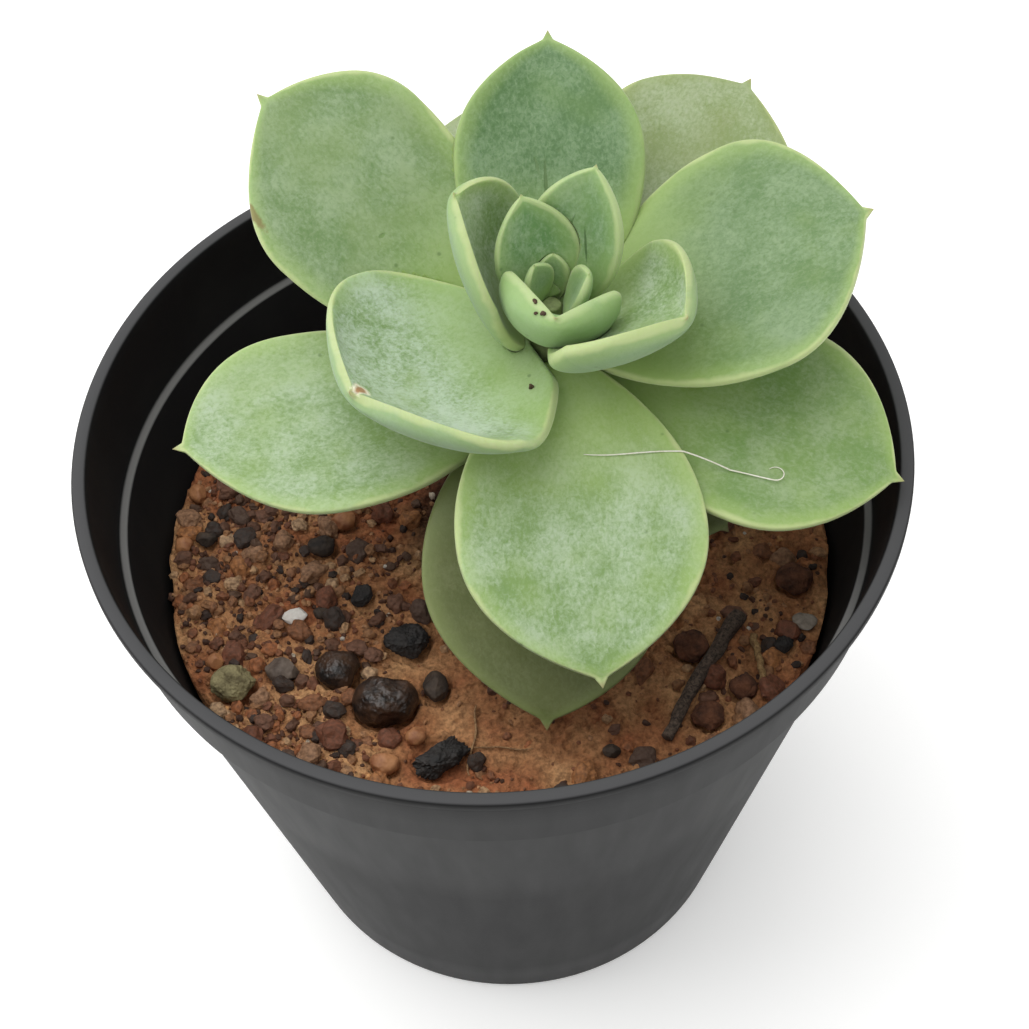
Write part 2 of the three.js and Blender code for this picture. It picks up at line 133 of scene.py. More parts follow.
def skinOf(rings):  # faces of a closed skin: ring after ring, with one point before and one after
    count, sides = len(rings), len(rings[0])
    points = [sum(rings[0], Vector()) / sides] + [p for ring in rings for p in ring]
    points.append(sum(rings[-1], Vector()) / sides)
    last = len(points) - 1
    faces = []
    for k in range(sides):
        other = (k + 1) % sides
        faces.append((0, 1 + other, 1 + k))
        for r in range(count - 1):
            a, b = 1 + r * sides + k, 1 + r * sides + other
            faces.append((a, b, b + sides, a + sides))
        faces.append((1 + (count - 1) * sides + k, 1 + (count - 1) * sides + other, last))
    return points, faces


# Pot
pot = {
    "rimThickness": 1.6, "rimOverhang": 0.9, "rimWidth": 1.8, "collarHeight": 12, "collarTaper": 1.6,
    "shoulderWidth": 1.3, "baseRadius": 34, "wall": 1.1, "floor": 1.6, "edgeRound": 0.35,
    "undercut": 0.45, "holes": 6, "holeRadius": 3.5, "holeRing": 24, "segments": 216,
    # the level faces' grey here and the ledge's paler grey on the next line are painted light from above
    "plastic": "#161617", "dusty": "#232322", "paintedTopLight": "#4C4C4D",
    "paintedLedgeLight": "#8C8B89", "moulding": 0.25, "grain": 0.35,
}

potLow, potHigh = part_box("pot")
rimRadius = potHigh.x * 1000
rimTop = potHigh.z * 1000
rimBottom = rimTop - pot["rimThickness"]
collarBottom = rimBottom - pot["collarHeight"]
collarTopRadius = rimRadius - pot["rimOverhang"]
collarRadius = collarTopRadius - pot["collarTaper"]
bodyTopRadius = collarRadius - pot["shoulderWidth"]
ledge = collarBottom + pot["wall"]


def potMesh():
    soft = pot["edgeRound"]
    inner = rimRadius - pot["rimWidth"]
    slant = (bodyTopRadius - pot["baseRadius"]) / collarBottom
    profile = [
        (0, 0.6), (pot["baseRadius"] - 6, 0.6), (pot["baseRadius"] - 4.5, 0), (pot["baseRadius"] - 1.5, 0),
        (pot["baseRadius"] - 0.5, 0.3), (pot["baseRadius"] + 0.2, 1.2), (pot["baseRadius"] + 12 * slant, 12),
        (bodyTopRadius - 30 * slant, collarBottom - 30), (bodyTopRadius - soft * slant, collarBottom - soft),
        (bodyTopRadius + soft, collarBottom), (collarRadius - soft, collarBottom),
        (collarRadius, collarBottom + soft), (collarTopRadius - 0.35, rimBottom - 2.2),
        (collarTopRadius - 0.15, rimBottom - 0.9), (collarTopRadius - pot["undercut"], rimBottom - 0.35),
        (collarTopRadius - pot["undercut"] / 2, rimBottom), (rimRadius - soft, rimBottom),
        (rimRadius, rimBottom + soft), (rimRadius, rimTop - soft), (rimRadius - soft * 0.3, rimTop - soft * 0.3),
        (rimRadius - soft, rimTop), (inner + soft, rimTop), (inner + soft * 0.3, rimTop - soft * 0.3),
        (inner, rimTop - soft), (inner - 0.3, rimBottom), (collarRadius - pot["wall"], ledge + 0.6),
        (collarRadius - pot["wall"] - 0.4, ledge + 0.1), (bodyTopRadius - pot["wall"] + 0.3, ledge),
        (bodyTopRadius - pot["wall"], ledge - 0.3), (pot["baseRadius"] - pot["wall"] + 0.3, pot["floor"] + 0.6),
        (pot["baseRadius"] - pot["wall"] - 0.4, pot["floor"]), (0, pot["floor"]),
    ]
    count = pot["segments"]
    turn = [2 * math.pi * k / count for k in range(count)]
    rings = [[Vector((mm(r) * math.cos(a), mm(r) * math.sin(a), mm(z))) for a in turn] for r, z in profile[1:-1]]
    points, faces = skinOf(rings)
    points[0], points[-1] = Vector((0, 0, mm(profile[0][1]))), Vector((0, 0, mm(profile[-1][1])))
    body = bpy.data.objects.new("potBody", meshOf("potBody", points, faces))
    drills = []
    for k in range(pot["holes"]):
        angle = 2 * math.pi * k / pot["holes"]
        drill = bmesh.new()
        centre = Matrix.Translation((mm(pot["holeRing"]) * math.cos(angle), mm(pot["holeRing"]) * math.sin(angle), 0))
        bmesh.ops.create_cone(drill, cap_ends=True, segments=32, radius1=mm(pot["holeRadius"]),
                              radius2=mm(pot["holeRadius"]), depth=mm(8), matrix=centre)
        mesh = bpy.data.meshes.new("drill")
        drill.to_mesh(mesh)
        drill.free()
        drills.append(mesh)
    return carve(body, drills)


def carve(body, cutters):  # takes each cutter's solid out of the body's mesh
    bpy.context.scene.collection.objects.link(body)
    tools = []
    for number, mesh in enumerate(cutters):
        tool = bpy.data.objects.new("cutter", mesh)
        bpy.context.scene.collection.objects.link(tool)
        tools.append(tool)
        cut = body.modifiers.new(f"cut {number}", "BOOLEAN")
        cut.operation = "DIFFERENCE"
        cut.solver = "MANIFOLD"
        cut.object = tool
    bpy.context.view_layer.update()
    ready = body.evaluated_get(bpy.context.evaluated_depsgraph_get())
    mesh = bpy.data.meshes.new_from_object(ready, preserve_all_data_layers=True,
                                           depsgraph=bpy.context.evaluated_depsgraph_get())
    for tool in tools:
        bpy.data.objects.remove(tool)
    bpy.data.objects.remove(body)
    return mesh


def blackPolypropylene():  # moulded black polypropylene: satin dark grey with a fine orange-peel grain
    material, tree, shader, spot = newMaterial("moulded black polypropylene")
    grain = addNode(tree, "ShaderNodeTexNoise", {"Vector": spot, "Scale": 1 / mm(pot["grain"]), "Detail": 2.0})
    cloud = addNode(tree, "ShaderNodeTexNoise", {"Vector": spot, "Scale": 1 / mm(14), "Detail": 4.0})
    flow = addNode(tree, "ShaderNodeMapping", {"Vector": spot, "Scale": (1, 1, 0.08)})  # faint upright flow marks
    streak = addNode(tree, "ShaderNodeTexNoise", {"Vector": flow.outputs[0], "Scale": 1 / mm(3), "Detail": 3.0})
    dust = addNode(tree, "ShaderNodeMapRange", {"Value": cloud.outputs[0], "From Min": 0.45, "From Max": 0.75,
                                                "To Max": 0.5})
    colour = addNode(tree, "ShaderNodeMix", {0: dust.outputs[0], 6: linear(pot["plastic"]),
                                             7: linear(pot["dusty"])}, data_type="RGBA")
    facing = addNode(tree, "ShaderNodeSeparateXYZ", {0: addNode(tree, "ShaderNodeNewGeometry").outputs["Normal"]})
    level = addNode(tree, "ShaderNodeMapRange", {"Value": facing.outputs[2], "From Min": 0.6, "From Max": 0.95,
                                                 "To Max": 0.85})  # painted light: faces that look up are painted paler, as if lit from above
    high = addNode(tree, "ShaderNodeSeparateXYZ", {0: spot})
    # below the rim, on the ledge inside, the painted light is paler still
    onLedge = addNode(tree, "ShaderNodeMath", {0: high.outputs[2], 1: mm(rimBottom)}, operation="LESS_THAN")
    paintedLevelLight = addNode(tree, "ShaderNodeMix", {0: onLedge.outputs[0], 6: linear(pot["paintedTopLight"]),
                                                  7: linear(pot["paintedLedgeLight"])}, data_type="RGBA")
    paintedTopLight = addNode(tree, "ShaderNodeMix", {0: level.outputs[0], 6: colour.outputs[2], 7: paintedLevelLight.outputs[2]},
                      data_type="RGBA")
    gloss = addNode(tree, "ShaderNodeMapRange", {"Value": streak.outputs[0], "To Min": 0.5, "To Max": 0.62})
    bump = addNode(tree, "ShaderNodeBump", {"Height": grain.outputs[0], "Strength": 0.25, "Distance": mm(0.05)})
    tree.links.new(paintedTopLight.outputs[2], shader.inputs["Base Color"])
    tree.links.new(gloss.outputs[0], shader.inputs["Roughness"])
    tree.links.new(bump.outputs[0], shader.inputs["Normal"])
    shader.inputs["IOR"].default_value = 1.49
    shader.inputs["Specular IOR Level"].default_value = 0.13
    return material


place("pot_shell", potMesh(), "black_plastic", ["pot"], blackPolypropylene())
print("pot made")

# Soil
soil = {
    "drop": 25, "mound": 1.5, "wave": 0.7, "waveAcross": 6, "waveDeep": 7, "rings": 118, "segments": 400,
    "lumps": 1.1, "lumpSize": 5, "crumbs": 0.5, "crumbSize": 1.3, "pits": 2.4,
    "cracks": 0.8, "crackSize": 5.5, 
    # the fourth colour here is the painted shade in the hollows of soil and grains; the last is painted shade round the
    # stem under the leaves
    "clay": "#BC8458", "lit": "#D8A472", "red": "#B06B45", "dark": "#422A1A", "paintedShade": "#1C120C",
}
soilLow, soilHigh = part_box("soil")
soilEdge = soilHigh.x * 1000
soilLevel = rimTop - soil["drop"]


def soilHeight(x, y):  # the CAD soil's own rule, in mm
    share = min(math.hypot(x, y) / soilEdge, 1)
    wave = soil["wave"] * math.sin(x / soil["waveAcross"]) * math.sin(y / soil["waveDeep"])
    return soilLevel + (1 - share ** 2) * (soil["mound"] + wave)


def grittiness(x, y):  # 1 where loose grit lies thick, 0 where the smooth clay shows
    left = min(max((-x - 8) / 16, 0), 1)
    rim = min(max((math.hypot(x, y) - 33) / 8, 0), 1)
    patch = noise.noise(Vector((x / 9, y / 9, 3)))
    return min(max(0.1 + 0.85 * left + 0.4 * rim + 0.45 * patch, 0.03), 1)


def soilMesh(sunk):  # a finely broken surface, closed below; `sunk` are boxes that things lie in
    rings = []
    bottom = soilLow.z * 1000
    footRadius = pot["baseRadius"] - pot["wall"] - 0.6
    count = soil["segments"]
    angles = [2 * math.pi * k / count for k in range(count)]
    for height in (bottom, (bottom + soilLevel) / 2, soilLevel - 3):
        share = (height - bottom) / (soilLevel - bottom)
        radius = footRadius + (soilEdge - 0.1 - footRadius) * share
        rings.append([Vector((radius * math.cos(a), radius * math.sin(a), height)) for a in angles])
    for r in range(soil["rings"], 0, -1):
        ring = []
        for a in angles:
            edge = soilEdge - 0.5 - 1.1 * max(0, noise.noise(Vector((math.cos(a) * 4, math.sin(a) * 4, 9)))) * 2
            radius = edge * r / soil["rings"]
            x, y = radius * math.cos(a), radius * math.sin(a)
            rough = grittiness(x, y)
            at = Vector((x, y, 0))
            lumps = noise.fractal(at / soil["lumpSize"], 0.9, 2.1, 4) * soil["lumps"] * (0.5 + 0.5 * rough)
            crumbs = abs(noise.fractal(at / soil["crumbSize"] + Vector((7, 3, 1)), 0.8, 2.2, 3))
            pits = min(0, noise.noise(at / 3.1 + Vector((0, 5, 2))) + 0.28) * soil["pits"]
            wander = noise.noise_vector(at / 2.3) * 0.5
            crack = max(0, 1 - abs(noise.noise(at / soil["crackSize"] + wander)) * 14) * soil["cracks"]
            z = soilHeight(x, y) - 0.3 + lumps + crumbs * soil["crumbs"] * (0.35 + rough) + pits - crack
            for low, high, floor in sunk:
                if low[0] < x < high[0] and low[1] < y < high[1]:
                    across = ((2 * x - low[0] - high[0]) / (high[0] - low[0])) ** 2
                    across += ((2 * y - low[1] - high[1]) / (high[1] - low[1])) ** 2
                    if across < 1:
                        z = min(z, floor + (z - floor) * max(0, 4 * (across - 0.75)))
            ring.append(Vector((x, y, z)))
        rings.append(ring)
    points, faces = skinOf(rings)
    points[0] = Vector((0, 0, bottom))
    points[-1].z = sum(p.z for p in rings[-1]) / count
    mesh = meshOf("soil_bed", [p * 0.001 for p in points], faces)
    grit = mesh.attributes.new("grit", "FLOAT", "POINT")
    values = []
    for p in points:
        covered = any(low[0] < p.x < high[0] and low[1] < p.y < high[1] for low, high, _ in sunk)
        onTop = p.z > soilLevel - 2.5 and math.hypot(p.x, p.y) < soilEdge - 1.2
        values.append(0.0 if covered or not onTop else grittiness(p.x, p.y))
    grit.data.foreach_set("value", values)
    return mesh


def dampSoil():  # damp peat and clay: matte red-brown, painted shade in its hollows and round the stem, paler where it has dried
    material, tree, shader, spot = newMaterial("damp peat and clay")
    broad = addNode(tree, "ShaderNodeTexNoise", {"Vector": spot, "Scale": 1 / mm(9), "Detail": 5.0})
    fine = addNode(tree, "ShaderNodeTexNoise", {"Vector": spot, "Scale": 1 / mm(0.7), "Detail": 5.0,
                                                "Roughness": 0.7})
    specks = addNode(tree, "ShaderNodeTexVoronoi", {"Vector": spot, "Scale": 1 / mm(0.9)})
    patches = addNode(tree, "ShaderNodeValToRGB", {"Fac": broad.outputs[0]})
    stops = patches.color_ramp.elements
    stops[0].position, stops[0].color = 0.34, linear(soil["red"])
    stops[1].position, stops[1].color = 0.66, linear(soil["lit"])
    stops.new(0.5).color = linear(soil["clay"])
    # painted shade: darker where the fine noise, which also sets the bump, is low
    shade = addNode(tree, "ShaderNodeMapRange", {"Value": fine.outputs[0], "From Min": 0.34, "From Max": 0.6,
                                                 "To Min": 0.6, "To Max": 0.0})
    colour = addNode(tree, "ShaderNodeMix", {0: shade.outputs[0], 6: patches.outputs[0],
                                             7: linear(soil["dark"])}, data_type="RGBA")
    # painted shade round the stem, where the leaves above shadow the soil
    away = addNode(tree, "ShaderNodeVectorMath", {0: spot, 1: (mm(4), mm(4), mm(soilLevel))}, operation="DISTANCE")
    paintedShade = addNode(tree, "ShaderNodeMapRange", {"Value": away.outputs["Value"], "From Min": mm(12),
                                                "From Max": mm(19), "To Min": 0.9, "To Max": 0.0},
                   interpolation_type="SMOOTHSTEP")
    colour = addNode(tree, "ShaderNodeMix", {0: paintedShade.outputs[0], 6: colour.outputs[2], 7: linear(soil["paintedShade"])},
                     data_type="RGBA")
    height = addNode(tree, "ShaderNodeMath", {0: specks.outputs["Distance"], 1: fine.outputs[0]}, operation="ADD")
    bump = addNode(tree, "ShaderNodeBump", {"Height": height.outputs[0], "Strength": 0.8, "Distance": mm(0.5)})
    tree.links.new(colour.outputs[2], shader.inputs["Base Color"])
    tree.links.new(bump.outputs[0], shader.inputs["Normal"])
    shader.inputs["Roughness"].default_value = 0.85
    shader.inputs["Specular IOR Level"].default_value = 0.3
    return material


# Loose grains, strewn over the soil by one geometry tree
grains = {
    "soil_crumbs": {"size": 0.36, "spread": 0.5, "spacing": 0.62, "density": 1.7, "rough": 0.5, "faces": 1,
                    "seed": 3, "kind": "crumbs"},
    "soil_grit": {"size": 0.7, "spread": 0.45, "spacing": 1.3, "density": 0.6, "rough": 0.4, "faces": 2,
                  "seed": 11, "kind": "grit"},
    "soil_gravel": {"size": 1.25, "spread": 0.4, "spacing": 2.4, "density": 0.24, "rough": 0.25, "faces": 3,
                    "seed": 20, "kind": "gravel"},
    "pale_specks": {"size": 0.42, "spread": 0.4, "spacing": 3.2, "density": 0.05, "rough": 0.4, "faces": 2,
                    "seed": 5, "kind": "specks"},
}
grainColours = {
    "crumbs": ["#8A5A3A", "#A06B47", "#6E452D", "#B27D52", "#4A2F1E", "#8F5A3C", "#BC8A60", "#5A3826"],
    "grit": ["#8A5233", "#9B6540", "#4A3227", "#B07F55", "#2A231F", "#77482F", "#C39A70", "#8F5A3A", "#5E4534",
             "#A8683F", "#3A302B", "#A0724C", "#6B4A38", "#7F5038"],
    "gravel": ["#9A6A48", "#B5875E", "#6E4A36", "#A8683F", "#C7A27C", "#7A5440", "#3A322D", "#8F5D3C", "#B27747",
               "#5A463A", "#A57C5C", "#7D4B34"],
    "specks": ["#E4DCCD", "#CDBFA9", "#D9A066"],
}


def strewTree():  # four uneven grains, picked at random for each point on the soil
    tree, given, leave = newTree("strewn grains", ("Size", "Spread", "Spacing", "Density", "Rough", "Faces", "Seed"),
                                 ("Faces", "Seed"))
    kinds = addNode(tree, "GeometryNodeGeometryToInstance")
    spot = addNode(tree, "GeometryNodeInputPosition").outputs[0]
    for k in range(4):
        ball = addNode(tree, "GeometryNodeMeshIcoSphere", {"Radius": 1.0, "Subdivisions": given["Faces"]})
        wobble = addNode(tree, "ShaderNodeTexNoise", {"Vector": spot, "W": 3.7 * k + 1, "Scale": 1.1, "Detail": 1.0},
                         noise_dimensions="4D")
        smallest = addNode(tree, "ShaderNodeMath", {0: 1.0, 1: given["Rough"]}, operation="SUBTRACT")
        swell = addNode(tree, "ShaderNodeMapRange", {"Value": wobble.outputs[0], "From Min": 0.25, "From Max": 0.75,
                                                     "To Min": smallest.outputs[0], "To Max": 1.35})
        moved = addNode(tree, "ShaderNodeVectorMath", {0: spot, "Scale": swell.outputs[0]}, operation="SCALE")
        grain = addNode(tree, "GeometryNodeSetPosition", {"Geometry": ball.outputs[0], "Position": moved.outputs[0]})
        tree.links.new(grain.outputs[0], kinds.inputs[0])
    where = addNode(tree, "GeometryNodeInputNamedAttribute", {"Name": "grit"}, data_type="FLOAT")
    points = addNode(tree, "GeometryNodeDistributePointsOnFaces",
                     {"Mesh": given["Geometry"], "Distance Min": given["Spacing"], "Density Max": given["Density"],
                      "Density Factor": where.outputs[0], "Seed": given["Seed"]}, distribute_method="POISSON")
    pick = addNode(tree, "FunctionNodeRandomValue", {"Min": 0, "Max": 3, "Seed": given["Seed"]}, data_type="INT")
    turn = addNode(tree, "FunctionNodeRandomValue", {"Min": (-0.5, -0.5, 0), "Max": (0.5, 0.5, 6.283),
                                                     "Seed": given["Seed"]}, data_type="FLOAT_VECTOR")
    shape = addNode(tree, "FunctionNodeRandomValue", {"Min": (0.75, 0.75, 0.5), "Max": (1.35, 1.1, 0.95),
                                                      "Seed": given["Seed"]}, data_type="FLOAT_VECTOR")
    low = addNode(tree, "ShaderNodeMath", {0: 1.0, 1: given["Spread"]}, operation="SUBTRACT")
    high = addNode(tree, "ShaderNodeMath", {0: 1.0, 1: given["Spread"]}, operation="ADD")
    chance = addNode(tree, "FunctionNodeRandomValue", {2: low.outputs[0], 3: high.outputs[0],
                                                       "Seed": given["Seed"]}, data_type="FLOAT")
    size = addNode(tree, "ShaderNodeMath", {0: chance.outputs[1], 1: given["Size"]}, operation="MULTIPLY")
    scale = addNode(tree, "ShaderNodeVectorMath", {0: shape.outputs[0], "Scale": size.outputs[0]}, operation="SCALE")
    strewn = addNode(tree, "GeometryNodeInstanceOnPoints",
                     {"Points": points.outputs[0], "Instance": kinds.outputs[0], "Pick Instance": True,
                      "Instance Index": pick.outputs[2], "Rotation": turn.outputs[0], "Scale": scale.outputs[0]})
    raised = addNode(tree, "ShaderNodeMath", {0: given["Size"], 1: 0.3}, operation="MULTIPLY")
    lift = addNode(tree, "ShaderNodeCombineXYZ", {2: raised.outputs[0]})
    strewn = addNode(tree, "GeometryNodeTranslateInstances", {0: strewn.outputs[0], "Translation": lift.outputs[0],
                                                              "Local Space": False})
    tint = addNode(tree, "FunctionNodeRandomValue", {2: 0.0, 3: 1.0, "Seed": given["Seed"]}, data_type="FLOAT")
    stained = addNode(tree, "GeometryNodeStoreNamedAttribute",
                      {"Geometry": strewn.outputs[0], "Name": "tint", "Value": tint.outputs[1]},
                      data_type="FLOAT", domain="INSTANCE")
    whole = addNode(tree, "GeometryNodeRealizeInstances", {0: stained.outputs[0]})
    addNode(tree, "GeometryNodeSetMaterial", {0: whole.outputs[0], "Material": given["Finish"]})
    tree.links.new(tree.nodes[-1].outputs[0], leave.inputs[0])
    return tree


def gritMaterial(kind):  # each grain one colour from the mix, with painted shade where its mottled bumps are low
    material, tree, shader, spot = newMaterial(f"loose {kind}")
    tint = addNode(tree, "ShaderNodeAttribute", attribute_name="tint")
    colours = addNode(tree, "ShaderNodeValToRGB", {"Fac": tint.outputs["Fac"]})
    ramp = colours.color_ramp
    ramp.interpolation = "CONSTANT"
    shades = grainColours[kind]
    ramp.elements[0].color = linear(shades[0])
    ramp.elements[1].position = 1 - 1 / len(shades)
    ramp.elements[1].color = linear(shades[-1])
    for number, shade in enumerate(shades[1:-1], 1):
        ramp.elements.new(number / len(shades)).color = linear(shade)
    mottle = addNode(tree, "ShaderNodeTexNoise", {"Vector": spot, "Scale": 1 / mm(0.5), "Detail": 4.0})
    # painted shade: darker where the mottle, which also sets the bump, is low
    shade = addNode(tree, "ShaderNodeMapRange", {"Value": mottle.outputs[0], "From Min": 0.35, "From Max": 0.65,
                                                 "To Min": 0.6, "To Max": 0.0})
    colour = addNode(tree, "ShaderNodeMix", {0: shade.outputs[0], 6: colours.outputs[0],
                                             7: linear(soil["dark"])}, data_type="RGBA")
    bump = addNode(tree, "ShaderNodeBump", {"Height": mottle.outputs[0], "Strength": 0.6, "Distance": mm(0.2)})
    tree.links.new(colour.outputs[2], shader.inputs["Base Color"])
    tree.links.new(bump.outputs[0], shader.inputs["Normal"])
    shader.inputs["Roughness"].default_value = 0.75
    return material


# Named stones, charcoal, chips and clods, each from its CAD solid
stoneKinds = {
    "wet": {"slot": "wet_stone", "levels": 4, "cuts": 9, "bumps": 0.16, "bumpSize": 2.4, "fine": 0.03,
            "colours": ("#1A1411", "#4E3626"), "roughness": 0.42, "coat": 0.15},
    "dark": {"slot": "dark_stone", "levels": 3, "cuts": 16, "bumps": 0.12, "bumpSize": 1.8, "fine": 0.05,
             "colours": ("#221A15", "#4A3C30"), "roughness": 0.75, "coat": 0.0},
    "charcoal": {"slot": "charcoal", "levels": 4, "cuts": 22, "bumps": 0.16, "bumpSize": 1.7, "fine": 0.1,
                 "colours": ("#100E0D", "#322D2A"), "roughness": 0.7, "coat": 0.0},
    "grey": {"slot": "grey_stone", "levels": 3, "cuts": 10, "bumps": 0.1, "bumpSize": 1.8, "fine": 0.03,
             "colours": ("#4A3D35", "#77695D"), "roughness": 0.7, "coat": 0.0},
    "brown": {"slot": "brown_stone", "levels": 3, "cuts": 8, "bumps": 0.1, "bumpSize": 1.6, "fine": 0.03,
              "colours": ("#8A5536", "#BB8356"), "roughness": 0.6, "coat": 0.0},
    "pale": {"slot": "pale_chip", "levels": 4, "cuts": 40, "bumps": 0.05, "bumpSize": 1.4, "fine": 0.03,
             "colours": ("#CFC7BD", "#EFEBE4"), "roughness": 0.7, "coat": 0.0},
    "pumice": {"slot": "pumice", "levels": 4, "cuts": 8, "bumps": 0.12, "bumpSize": 1.6, "fine": 0.07,
               "colours": ("#5F5538", "#A0966C"), "roughness": 0.8, "coat": 0.0},
    "clod": {"slot": "soil_clod", "levels": 4, "cuts": 0, "bumps": 0.2, "bumpSize": 1.3, "fine": 0.08,
             "colours": ("#3A2216", "#774B33"), "roughness": 0.9, "coat": 0.0},
    "bark": {"slot": "dead_wood", "levels": 3, "cuts": 8, "bumps": 0.14, "bumpSize": 1.2, "fine": 0.04,
             "colours": ("#6B6056", "#A79C8E"), "roughness": 0.85, "coat": 0.0},
}
stoneKindOf = {
    "wet_pebble": "wet", "round_pebble": "wet", "charcoal_lump": "charcoal", "dark_pebble": "dark",
    "pumice_stone": "pumice", "grey_pebble": "grey", "white_chip": "pale", "black_grain": "dark",
    "charcoal_flake": "charcoal", "olive_pebble": "dark", "ochre_pebble": "brown", "orange_grit": "brown",
    "tan_grit": "brown", "dark_grit": "dark", "red_grit": "brown", "brown_pebble": "brown",
    "rust_grit": "brown", "charcoal_slab": "charcoal", "round_lump": "clod", "brown_lump": "clod",
    "red_clod": "clod", "wall_clod": "clod", "charcoal_bit": "charcoal", "bark_chip": "bark", "dark_seed": "dark",
}


def stoneMesh(node, kind, seed):  # the CAD solid's merged copy, subdivided, cut by planes and roughened
    low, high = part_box(node)
    centre, half = (low + high) / 2, (high - low) / 2
    raw = bmesh.new()
    raw.from_mesh(nodes[node].data)
    bmesh.ops.remove_doubles(raw, verts=raw.verts, dist=1e-6)
    mesh = bpy.data.meshes.new(node)
    raw.to_mesh(mesh)
    raw.free()
    holder = bpy.data.objects.new(node, mesh)
    bpy.context.scene.collection.objects.link(holder)
    smooth = holder.modifiers.new("smooth", "SUBSURF")
    smooth.levels = smooth.render_levels = kind["levels"]
    bpy.context.view_layer.update()
    fine = bpy.data.meshes.new_from_object(holder.evaluated_get(bpy.context.evaluated_depsgraph_get()))
    bpy.data.objects.remove(holder)
    chance = random.Random(seed)
    planes = []
    for _ in range(kind["cuts"]):
        normal = Vector((chance.gauss(0, 1), chance.gauss(0, 1), chance.gauss(0, 1))).normalized()
        planes.append((normal, chance.uniform(0.72, 0.95)))
    shift = Vector((seed * 3.1, seed * 1.7, seed * 0.9))
    for vertex in fine.vertices:
        local = vertex.co - centre
        unit = Vector(local[k] / half[k] for k in range(3))
        reach = unit.length * 1.04
        way = unit.normalized()
        for normal, distance in planes:
            toward = way.dot(normal)
            if toward > 0.05:
                reach = min(reach, distance / toward)
        at = vertex.co * 1000 + shift
        reach *= 1 + kind["bumps"] * noise.noise(at / kind["bumpSize"])
        reach *= 1 + kind["fine"] * noise.fractal(at / 0.5, 0.7, 2.1, 3)
        reach = min(reach, 1.03)
        vertex.co = centre + Vector(way[k] * half[k] * reach for k in range(3))
    fine.shade_smooth()
    return fine


def stoneMaterial(name, kind):
    material, tree, shader, spot = newMaterial(name)
    cloud = addNode(tree, "ShaderNodeTexNoise", {"Vector": spot, "Scale": 1 / mm(2.2), "Detail": 6.0,
                                                 "Roughness": 0.65})
    ramp = addNode(tree, "ShaderNodeMapRange", {"Value": cloud.outputs[0], "From Min": 0.35, "From Max": 0.65})
    colour = addNode(tree, "ShaderNodeMix", {0: ramp.outputs[0], 6: linear(kind["colours"][0]),
                                             7: linear(kind["colours"][1])}, data_type="RGBA")
    fine = addNode(tree, "ShaderNodeTexNoise", {"Vector": spot, "Scale": 1 / mm(0.25), "Detail": 4.0})
    bump = addNode(tree, "ShaderNodeBump", {"Height": fine.outputs[0], "Strength": 0.35, "Distance": mm(0.1)})
    tree.links.new(colour.outputs[2], shader.inputs["Base Color"])
    tree.links.new(bump.outputs[0], shader.inputs["Normal"])
    shader.inputs["Roughness"].default_value = kind["roughness"]
    shader.inputs["Coat Weight"].default_value = kind["coat"]
    shader.inputs["Coat Roughness"].default_value = 0.14
    return material


finishes = {name: stoneMaterial(f"{name} fragment", kind) for name, kind in stoneKinds.items()}
for number, (node, kindName) in enumerate(stoneKindOf.items(), 1):
    kind = stoneKinds[kindName]
    place(node + "_stone", stoneMesh(node, kind, number), kind["slot"], [node], finishes[kindName])
print("stones made")

# Twig, straw and the fine strands
sticks = {
    "twig": {"slot": "dead_wood", "radius": 0.85, "bow": 1.6, "taper": 0.35, "ridges": 0.16, "sides": 28,
             "steps": 120, "colours": ("#2E241D", "#6F5E50")},
    "straw": {"slot": "dry_straw", "radius": 0.42, "bow": 0.5, "taper": 0.2, "ridges": 0.08, "sides": 16,
              "steps": 60, "colours": ("#6F5234", "#B3915F")},
}


def tubeMesh(name, points, radiusAt, sides, ridges=0.0, seed=0):  # a closed tube along points, in mm
    rings = []
    side = Vector((0, 0, 1))
    for k, p in enumerate(points):
        ahead = points[min(k + 1, len(points) - 1)] - points[max(k - 1, 0)]
        ahead.normalize()
        out = (side - ahead * side.dot(ahead)).normalized()
        across = ahead.cross(out)
        share = k / (len(points) - 1)
        ring = []
        for s in range(sides):
            angle = 2 * math.pi * s / sides
            rough = noise.noise(Vector((math.cos(angle) * 2.4, math.sin(angle) * 2.4, share * 9 + seed)))
            radius = radiusAt(share) * (1 + ridges * 2 * rough)
            ring.append(p + out * radius * math.cos(angle) + across * radius * math.sin(angle))
        rings.append(ring)
    verts, faces = skinOf(rings)
    mesh = meshOf(name, [v * 0.001 for v in verts], faces)
    tidy = bmesh.new()
    tidy.from_mesh(mesh)
    bmesh.ops.recalc_face_normals(tidy, faces=tidy.faces)
    tidy.to_mesh(mesh)
    tidy.free()
    return mesh


def stickMaterial(name, colours):  # weathered wood: long dark grooves between paler ridges
    material, tree, shader, spot = newMaterial(name)
    grain = addNode(tree, "ShaderNodeTexNoise", {"Vector": spot, "Scale": 1 / mm(0.5), "Detail": 5.0,
                                                 "Roughness": 0.7, "Distortion": 0.6})
    ramp = addNode(tree, "ShaderNodeMapRange", {"Value": grain.outputs[0], "From Min": 0.38, "From Max": 0.66})
    colour = addNode(tree, "ShaderNodeMix", {0: ramp.outputs[0], 6: linear(colours[0]), 7: linear(colours[1])},
                     data_type="RGBA")
    bump = addNode(tree, "ShaderNodeBump", {"Height": grain.outputs[0], "Strength": 0.7, "Distance": mm(0.2)})
    tree.links.new(colour.outputs[2], shader.inputs["Base Color"])
    tree.links.new(bump.outputs[0], shader.inputs["Normal"])
    shader.inputs["Roughness"].default_value = 0.85
    return material


